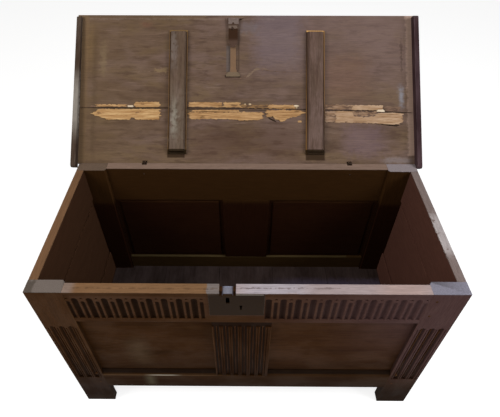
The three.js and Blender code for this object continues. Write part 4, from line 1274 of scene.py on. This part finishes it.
@dataclass
class Lid:
    """The two-board lid with its cleats and battens. Its paints are in lid places."""

    left_batten: float = -256
    right_batten: float = 251
    batten_half: float = 34
    ledge: float = 5
    front_reach: float = 497
    hinge_side: float = 377
    thickness: float = 22
    under: Span = (-10, FAR)

    def fillets(self, centre: float, colour: Shade, front: Shade) -> tuple[Paint, ...]:
        """The golden ledges of wear along both sides and the front end of a batten, painted shade in the step
        beside its face, and painted shadow along its foot.

        Args:
            centre: The batten's middle along X.
            colour: The side ledges' colour.
            front: The front ledge's colour.

        Returns:
            The paints.
        """
        inner = self.batten_half - self.ledge
        rubbed = self.batten_half - 2
        outer = self.batten_half + 9
        ledges = (4.8, 9)
        brown = (58, 42, 30)
        return (
            # Painted shadow along the batten's foot
            Paint((48, 34, 26), 0.85, z=(-FAR, 4), soft=1),
            # Painted shade in the step between each ledge and the face; the golden wear covers its outer part
            Paint(brown, x=(centre - outer, centre - inner), z=ledges),
            Paint(brown, x=(centre + inner, centre + outer), z=ledges),
            Paint(front, y=(self.front_reach - self.ledge - 1, FAR), z=ledges),
            Paint(colour, 0.9, (centre - outer, centre - rubbed), z=ledges, soft=1.2),
            Paint(colour, 0.9, (centre + rubbed, centre + outer), z=ledges, soft=1.2),
        )

    def board_paints(self) -> tuple[Paint, ...]:
        """The patches of colour on the boards, and last the painted shadows and the marks round the fittings.

        Returns:
            The paints.
        """
        deep = 1000
        under = self.under
        # The colour of the painted shadows behind the battens
        dirt = (50, 36, 24)
        return (
            # Broad tints that run through the boards
            Paint((104, 84, 62), 0.5, (-FAR, -420), soft=500),
            Paint((122, 102, 98), 0.5, (0, FAR), (300, FAR), soft=500),
            Paint((86, 64, 52), 0.5, (-200, 200), (20, 140), ALL, (100, 80, deep), 60),
            Paint((118, 98, 106), 0.45, (360, 500), (30, 140), ALL, (80, 60, deep), 80),
            Paint((122, 98, 66), 0.4, (-600, -568), (360, 520), ALL, (40, 80, deep), 60),
            Paint((118, 104, 110), 0.55, (30, 200), (360, FAR), ALL, (80, 140, deep), 80),
            Paint((118, 90, 76), 0.45, (280, 440), (240, 400), ALL, (100, 80, deep), 80),
            Paint((122, 82, 68), 0.35, (-395, -362), (512, 532), ALL, (30, 20, deep), 30),
            # Smears, specks, stains and pale patches of the underside, and a strip of painted shade beside
            # the left cleat
            Paint((142, 120, 88), 0.5, (-345, -300), (340, 352), under, (12, 8, 4), 40),
            Paint((66, 50, 46), 0.6, (569, 575), (340, 460), under, (5, 80, 4), 34),
            Paint((136, 136, 144), 0.85, (562, 574), (215, 285), under, (22, 50, 4), 34),
            Paint((112, 104, 108), 0.45, (-25, 40), (490, 528), under, (30, 30, 4), 60),
            # Painted shade beside the left cleat
            Paint((78, 62, 46), 0.35, (-575, -560), (20, 500), under, (16, 80, 4), 40),
            Paint((134, 116, 88), 0.4, (-545, -525), (330, 450), under, (24, 60, 4), 60),
            # Edges: wear on the left, painted light on the right that lifts the cleat's shadow, wear on the
            # back and front
            Paint((122, 98, 72), 0.6, (-FAR, -594), soft=14, ragged=8),
            # Painted light that lifts the shadow of the right cleat on the board beside it
            Paint((186, 158, 142), 0.65, (590, FAR), (30, FAR), soft=12, ragged=24),
            Paint((138, 128, 128), 0.5, (500, 600), (4, 22), ALL, (30, 14, deep), 30),
            Paint((150, 134, 126), 0.2, (-590, 100), (540, 545), soft=5, ragged=22),
            # Painted shadow behind the battens' rear ends, the sides of the strap's bed, and painted shadow
            # below the strap's foot
            # Painted shadow cast on the board behind each batten's rear end
            Paint(dirt, 0.85, (-292, -228), (20, 60), under, 5, 4),
            Paint(dirt, 0.85, (215, 285), (12, 60), under, 6, 4),
            Paint((96, 88, 86), 0.7, (-78, -62), (340, 440), under, 3, 4),
            Paint((80, 64, 54), 0.7, (-36, -29), (345, 500), under, 3, 3),
            # Painted shadow below the strap's foot
            Paint((34, 23, 15), 0.95, (-83, -26), (319.8, 329), under),
        )

    def build(self, coffer: Coffer) -> None:
        """Makes the lid's timbers.

        Args:
            coffer: What the whole chest shares.
        """
        olive = Mottle((113, 93, 68), (6.0, 15.0, 15.0), 0.46, 0.62, 0.55)
        violet = Mottle((119, 99, 92), (5.4, 12.0, 13.0), 0.48, 0.64, 0.55)
        shadowy = Mottle((80, 62, 52), (14.0, 60.0, 60.0), 0.50, 0.68, 0.7)
        smears = Mottle((132, 112, 98), (10.0, 90.0, 90.0), 0.58, 0.72, 0.5)
        board = OakFinish(
            (82, 64, 52), (108, 87, 72), (120, 99, 86), (84, 66, 54), relief=0.4, streaks=0.1,
            mottles=(olive, violet, smears, shadowy), paints=self.board_paints(),
        )
        for node in ("lid_front_board", "lid_back_board"):
            coffer.timber(node, board, Grain.ALONG_X, Body.LID)
        # Polish with a painted grey-white highlight on the left cleat's lower part
        polish_highlight = Paint((158, 152, 144), 0.7, ALL, (120, 310), (6, FAR), (10, 120, 10), 40, 0.15)
        left_cleat = OakFinish((60, 46, 38), (76, 62, 52), (92, 80, 70), (120, 108, 98), slot=Slot.WORN_OAK)
        right_cleat = OakFinish((48, 34, 36), (66, 48, 50), (84, 66, 70), (96, 80, 84), slot=Slot.DARK_OAK)
        coffer.timber("left_cleat", replace(left_cleat, paints=(polish_highlight,)), Grain.ALONG_Y, Body.LID)
        coffer.timber("right_cleat", right_cleat, Grain.ALONG_Y, Body.LID)
        batten = OakFinish(
            (78, 62, 50), (98, 80, 66), (112, 94, 80), (124, 104, 86), wear_strength=0.3,
            mottles=(violet, shadowy),
        )
        face = (15, FAR)
        # Painted shade on the battens' sloped rear ends
        rear_end_shade = Paint((40, 30, 17), 0.92, y=(-FAR, 50), soft=3)
        left_paints = (
            *self.fillets(self.left_batten, (136, 104, 68), (126, 100, 64)),
            Paint((126, 116, 104), 0.25, ALL, (50, 270), face, (10, 100, 10), 60, 0.12),
            Paint((172, 168, 154), 0.42, (-274, -258), (110, 210), face, (20, 90, 10), 50, 0.12),
            Paint((128, 118, 112), 0.45, (-FAR, -262), (360, 490), face, (20, 100, 10), 60),
            rear_end_shade,
        )
        right_paints = (*self.fillets(self.right_batten, (146, 110, 70), (206, 160, 98)), rear_end_shade)
        left = replace(batten, slot=Slot.WORN_OAK, paints=left_paints)
        coffer.timber("left_batten", left, Grain.ALONG_Y, Body.LID)
        right = replace(batten, middle=(102, 82, 73), light=(117, 96, 88), paints=right_paints)
        coffer.timber("right_batten", right, Grain.ALONG_Y, Body.LID)
        self.hinge_wedges(coffer, right_cleat)

    def hinge_wedges(self, coffer: Coffer, finish: OakFinish) -> None:
        """The small wedges driven into the lid's slots behind the hinge loops.

        Args:
            coffer: What the whole chest shares.
            finish: Their oak.
        """
        size = (24, 12.4, 6.4)
        height = 3.3 - self.thickness
        wedges = [
            small_box(size, 0.5, coffer.lid @ shift(x, -0.2, height))
            for x in (-self.hinge_side, self.hinge_side)
        ]
        coffer.dress(joined("hinge_wedges", wedges), finish, Body.LID)


@dataclass
class Ironwork:
    """Every iron node, with eased edges and a wrought finish."""

    arris: float = 0.4
    least_edge: float = 6
    strap: Span = (-64, -42)
    # Painted highlight on the rounded knuckle of the strap and the hasp
    knuckle_highlight: Paint = Paint((126, 111, 105), 0.85, (-71.5, -32), (519, FAR), soft=4, ragged=5)
    lobe: IronFinish = IronFinish((112, 96, 86), (92, 74, 62), (126, 112, 104))

    def finishes(self) -> dict[str, IronFinish]:
        """The finishes that aren't the plain one.

        Returns:
            The finishes by node.
        """
        left, right = self.strap
        plate_paints = (
            Paint((128, 120, 112), 0.8, (-30, 46), z=(747.4, FAR), soft=1),
            Paint((146, 147, 162), 0.95, (-66, -38), (-262, FAR), (742, FAR), 3, gloss=0.15),
        )
        strap_paints = (
            Paint((78, 70, 68), 0.8, (-FAR, left + 1), (-FAR, 440), soft=2),
            Paint((68, 56, 48), 0.8, (right + 3, FAR)),
            Paint((116, 99, 80), 0.9, y=(-FAR, 339), soft=2),
            self.knuckle_highlight,
        )
        hasp_paints = (
            # Painted shadow: the hasp stays darkest near its knuckle and is lightened towards its end
            Paint((88, 68, 58), 0.8, y=(-FAR, 458), soft=20),
            self.knuckle_highlight,
            # Painted highlight on the hasp's two lobes below its knuckle
            Paint((104, 87, 77), 0.8, (-71.5, -36), (502, 516), soft=3, ragged=5),
            Paint((84, 64, 52), 0.7, y=(516, 518.5), soft=2),
            # Painted shade for the hole between the lobes
            Paint((16, 10, 6), 0.95, (-59, -52), (496, 507), soft=2),
        )
        loop = IronFinish((58, 44, 36), (74, 54, 42), (80, 66, 56), 0.05)
        return {
            "lock_plate": IronFinish((46, 33, 22), (57, 40, 27), shine=0.02, paints=plate_paints),
            "hasp_strap": IronFinish((122, 96, 74), (144, 110, 80), (150, 130, 110), paints=strap_paints),
            "hasp": IronFinish((54, 34, 20), (72, 44, 26), (96, 80, 66), paints=hasp_paints),
            "hasp_staple": IronFinish((66, 48, 36), (84, 58, 42)),
            "hasp_pin": self.lobe,
            **{f"{side}_{kind}_loop": loop for side in ("left", "right") for kind in ("fixed", "moving")},
        }

    def rivets(self, coffer: Coffer) -> None:
        """The two domed rivets on the hasp's face, on both sides of the spot of painted shade that stands for
        its hole.

        Args:
            coffer: What the whole chest shares.
        """
        height, squeeze = 0.8, 0.8
        home = coffer.lid.inverted()
        places = [home @ vertex.co / MM for vertex in coffer.frame["nodes"]["hasp"].data.vertices]
        face = max(place.z for place in places if 460 < place.y < 520)
        made = []
        for x, reach, radius in ((-65.0, 508.0, 5.6), (-46.0, 507.5, 7.6)):
            deselect()
            bpy.ops.mesh.primitive_uv_sphere_add(segments=16, ring_count=8, radius=radius * MM)
            rivet = bpy.context.object
            rivet.data.transform(Matrix.Diagonal((1, squeeze, height / radius, 1)))
            rivet.data.transform(coffer.lid @ shift(x, reach, face))
            made.append(rivet)
        piece = joined("hasp_rivets", made)
        smooth(50)
        coffer.dress(piece, self.lobe, Body.HASP)

    def build(self, coffer: Coffer) -> None:
        """Makes the iron pieces.

        Args:
            coffer: What the whole chest shares.
        """
        places = {
            Body.CHEST: "lock_plate lock_case lock_spring key_pin left_fixed_loop right_fixed_loop",
            Body.LID: "hasp_strap hasp_pin left_moving_loop right_moving_loop",
            Body.HASP: "hasp hasp_staple",
            Body.BOLT: "lock_bolt",
        }
        finishes = self.finishes()
        self.rivets(coffer)
        for body, nodes in places.items():
            for node in nodes.split():
                piece = copy_of(node, coffer.frame)
                ease_arrises(piece, self.arris, self.least_edge)
                coffer.dress(piece, finishes.get(node, IronFinish()), body, Grain.ALONG_X, node)


@dataclass
class Pegs:
    """The oak pegs through the mortise and tenon joints, a little proud of the wood."""

    radius: float = 4.2
    length: float = 8
    proud: float = 0.5
    facets: int = 9
    side: float = 526
    heights: tuple[float, ...] = (716, 640, 238, 168)
    half_depth: float = 268

    def build(self, coffer: Coffer) -> None:
        """Makes the pegs of the front and of the back, each set as one piece.

        Args:
            coffer: What the whole chest shares.
        """
        for name, way in (("front_pegs", -1), ("back_pegs", 1)):
            depth = way * (self.half_depth + self.proud - self.length / 2)
            made = []
            for x in (-self.side, self.side):
                for height in self.heights:
                    deselect()
                    bpy.ops.mesh.primitive_cylinder_add(
                        vertices=self.facets, radius=self.radius * MM, depth=self.length * MM,
                        rotation=(math.radians(90), 0, 0),
                    )
                    made.append(bevelled(0.6, coffer.chest @ shift(x, depth, height)))
            coffer.dress(joined(name, made), FRONT_OAK, grain=Grain.ALONG_Y)


@dataclass
class Studio:
    """The pale floor, the lights and the camera, in metres."""

    lens: float = 30.88
    sensor: float = 36.0
    shift_x: float = 0.0138
    shift_y: float = -0.077
    camera_place: Triple = (-0.00619, -0.90857, 1.780)
    camera_turn: Triple = (48.04, 0.0, 0.37)
    aim: Triple = (0.0, 0.1, 0.7)
    floor_side: float = 30.0
    floor_glow: float = 0.78
    surround: float = 0.22

    def _seen(self, hand: Nodes, *rays: str) -> Socket:
        """1 for the rays that look at the background, and 0 for those that light the object.

        Args:
            hand: The hand for the nodes.
            *rays: The kinds of ray, besides those of the camera, that look at it.

        Returns:
            The share's socket.
        """
        path = hand.add("ShaderNodeLightPath").outputs
        seen = path["Is Camera Ray"]
        for ray in rays:
            seen = hand.math("MAXIMUM", seen, path[ray])
        return seen

    def _floor(self) -> None:
        """The pale floor: white to the camera, with the object's shadow on it."""
        bpy.ops.mesh.primitive_plane_add(size=self.floor_side, location=(0, 0, 0))
        floor = bpy.context.object
        floor.name = "studio_floor"
        material = bpy.data.materials.new("studio_floor")
        material.use_nodes = True
        hand = Nodes(material.node_tree)
        shader = hand.tree.nodes["Principled BSDF"]
        hand.feed(shader, Base_Color=(0.5, 0.5, 0.5, 1.0), Roughness=0.9, Specular_IOR_Level=0.0)
        seen = self._seen(hand, "Is Glossy Ray", "Is Transmission Ray")
        glow = hand.add("ShaderNodeEmission")
        hand.feed(glow, Strength=hand.math("MULTIPLY", seen, self.floor_glow))
        both = hand.fill(hand.add("ShaderNodeAddShader"), shader.outputs[0], glow.outputs[0])
        hand.feed(hand.tree.nodes["Material Output"], Surface=both.outputs[0])
        floor.data.materials.append(material)

    def _world(self) -> None:
        """A surround that gives a little even light and looks white."""
        world = bpy.data.worlds.new("studio_world")
        bpy.context.scene.world = world
        world.use_nodes = True
        hand = Nodes(world.node_tree)
        white = (1.0, 1.0, 1.0, 1.0)
        lit = hand.feed(hand.tree.nodes["Background"], Color=white, Strength=self.surround)
        shown = hand.feed(hand.add("ShaderNodeBackground"), Color=white, Strength=1.0)
        seen = self._seen(hand, "Is Transmission Ray")
        choice = hand.fill(hand.add("ShaderNodeMixShader"), seen, lit.outputs[0], shown.outputs[0])
        hand.feed(hand.tree.nodes["World Output"], Surface=choice.outputs[0])

    def _lamps(self, chest: Matrix) -> None:
        """The square soft lamps: each one's name, place, side, power in watts and colour.

        Args:
            chest: The matrix from the chest's places to the frame.
        """
        lamps = (
            ("left_softbox", (-2.3, -0.8, 2.7), 1.4, 52.0, (1.0, 0.96, 0.90)),
            ("right_softbox", (2.4, -0.8, 2.7), 1.4, 62.0, (0.97, 0.98, 1.0)),
            ("front_softbox", (0.0, -3.4, 2.2), 2.0, 14.0, (1.0, 0.98, 0.96)),
        )
        aim = chest @ Vector(self.aim)
        for name, place, size, power, colour in lamps:
            bpy.ops.object.light_add(type="AREA", location=chest @ Vector(place))
            lamp = bpy.context.object
            lamp.name = name
            lamp.rotation_euler = (aim - lamp.location).to_track_quat("-Z", "Y").to_euler()
            lamp.data.size = size
            lamp.data.energy = power
            lamp.data.color = colour

    def build(self, chest: Matrix) -> None:
        """Makes the floor, the surround, the lamps and the camera.

        Args:
            chest: The matrix from the chest's places to the frame.
        """
        self._floor()
        self._world()
        self._lamps(chest)
        bpy.ops.object.camera_add()
        camera = bpy.context.object
        camera.name = "photo_camera"
        camera.location = chest @ Vector(self.camera_place)
        camera.rotation_euler = [math.radians(value) for value in self.camera_turn]
        camera.data.sensor_width = self.sensor
        camera.data.lens = self.lens
        camera.data.shift_x = self.shift_x
        camera.data.shift_y = self.shift_y
        bpy.context.scene.camera = camera
        bpy.context.scene.view_settings.view_transform = "Standard"


def lid_places(axis: Vector, open_degrees: float, underside: float = 2.3) -> Matrix:
    """The matrix from lid places to the frame.

    Args:
        axis: The hinge's axis.
        open_degrees: How far the lid stands open.
        underside: How far the wood's underside lies off the axis.

    Returns:
        The matrix. A lid place is (x from the middle, reach from the axis, height off the underside).
    """
    turn = Matrix.Rotation(-math.radians(open_degrees), 4, "X")
    flip = Matrix.Diagonal((1, -1, -1, 1))
    return Matrix.Translation(axis) @ turn @ shift(0, 0, underside) @ flip


def main() -> None:
    """Builds the chest's looks in order."""
    logging.basicConfig(level=logging.INFO, format="%(name)s: %(message)s")
    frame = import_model()
    deselect()
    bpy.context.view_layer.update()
    hinge = next(joint for joint in frame["joints"] if joint["name"] == "lid_hinge")
    front_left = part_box("front_left_stile")[0]
    back_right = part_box("back_right_stile")[1]
    middle = Vector(((front_left.x + back_right.x) / 2, (front_left.y + back_right.y) / 2, 0))
    chest = Matrix.Translation(middle)
    lid = lid_places(Vector(hinge["pos_m"]), hinge["range_deg"][1])
    Studio().build(chest)
    coffer = Coffer(frame, chest, lid, Effects())
    Carcase().build(coffer)
    Lid().build(coffer)
    Ironwork().build(coffer)
    TornWood().build(coffer)
    Pegs().build(coffer)
    deselect()
    LOG.info("%d pieces", len(coffer.pieces))


if __name__ == "__main__":
    main()
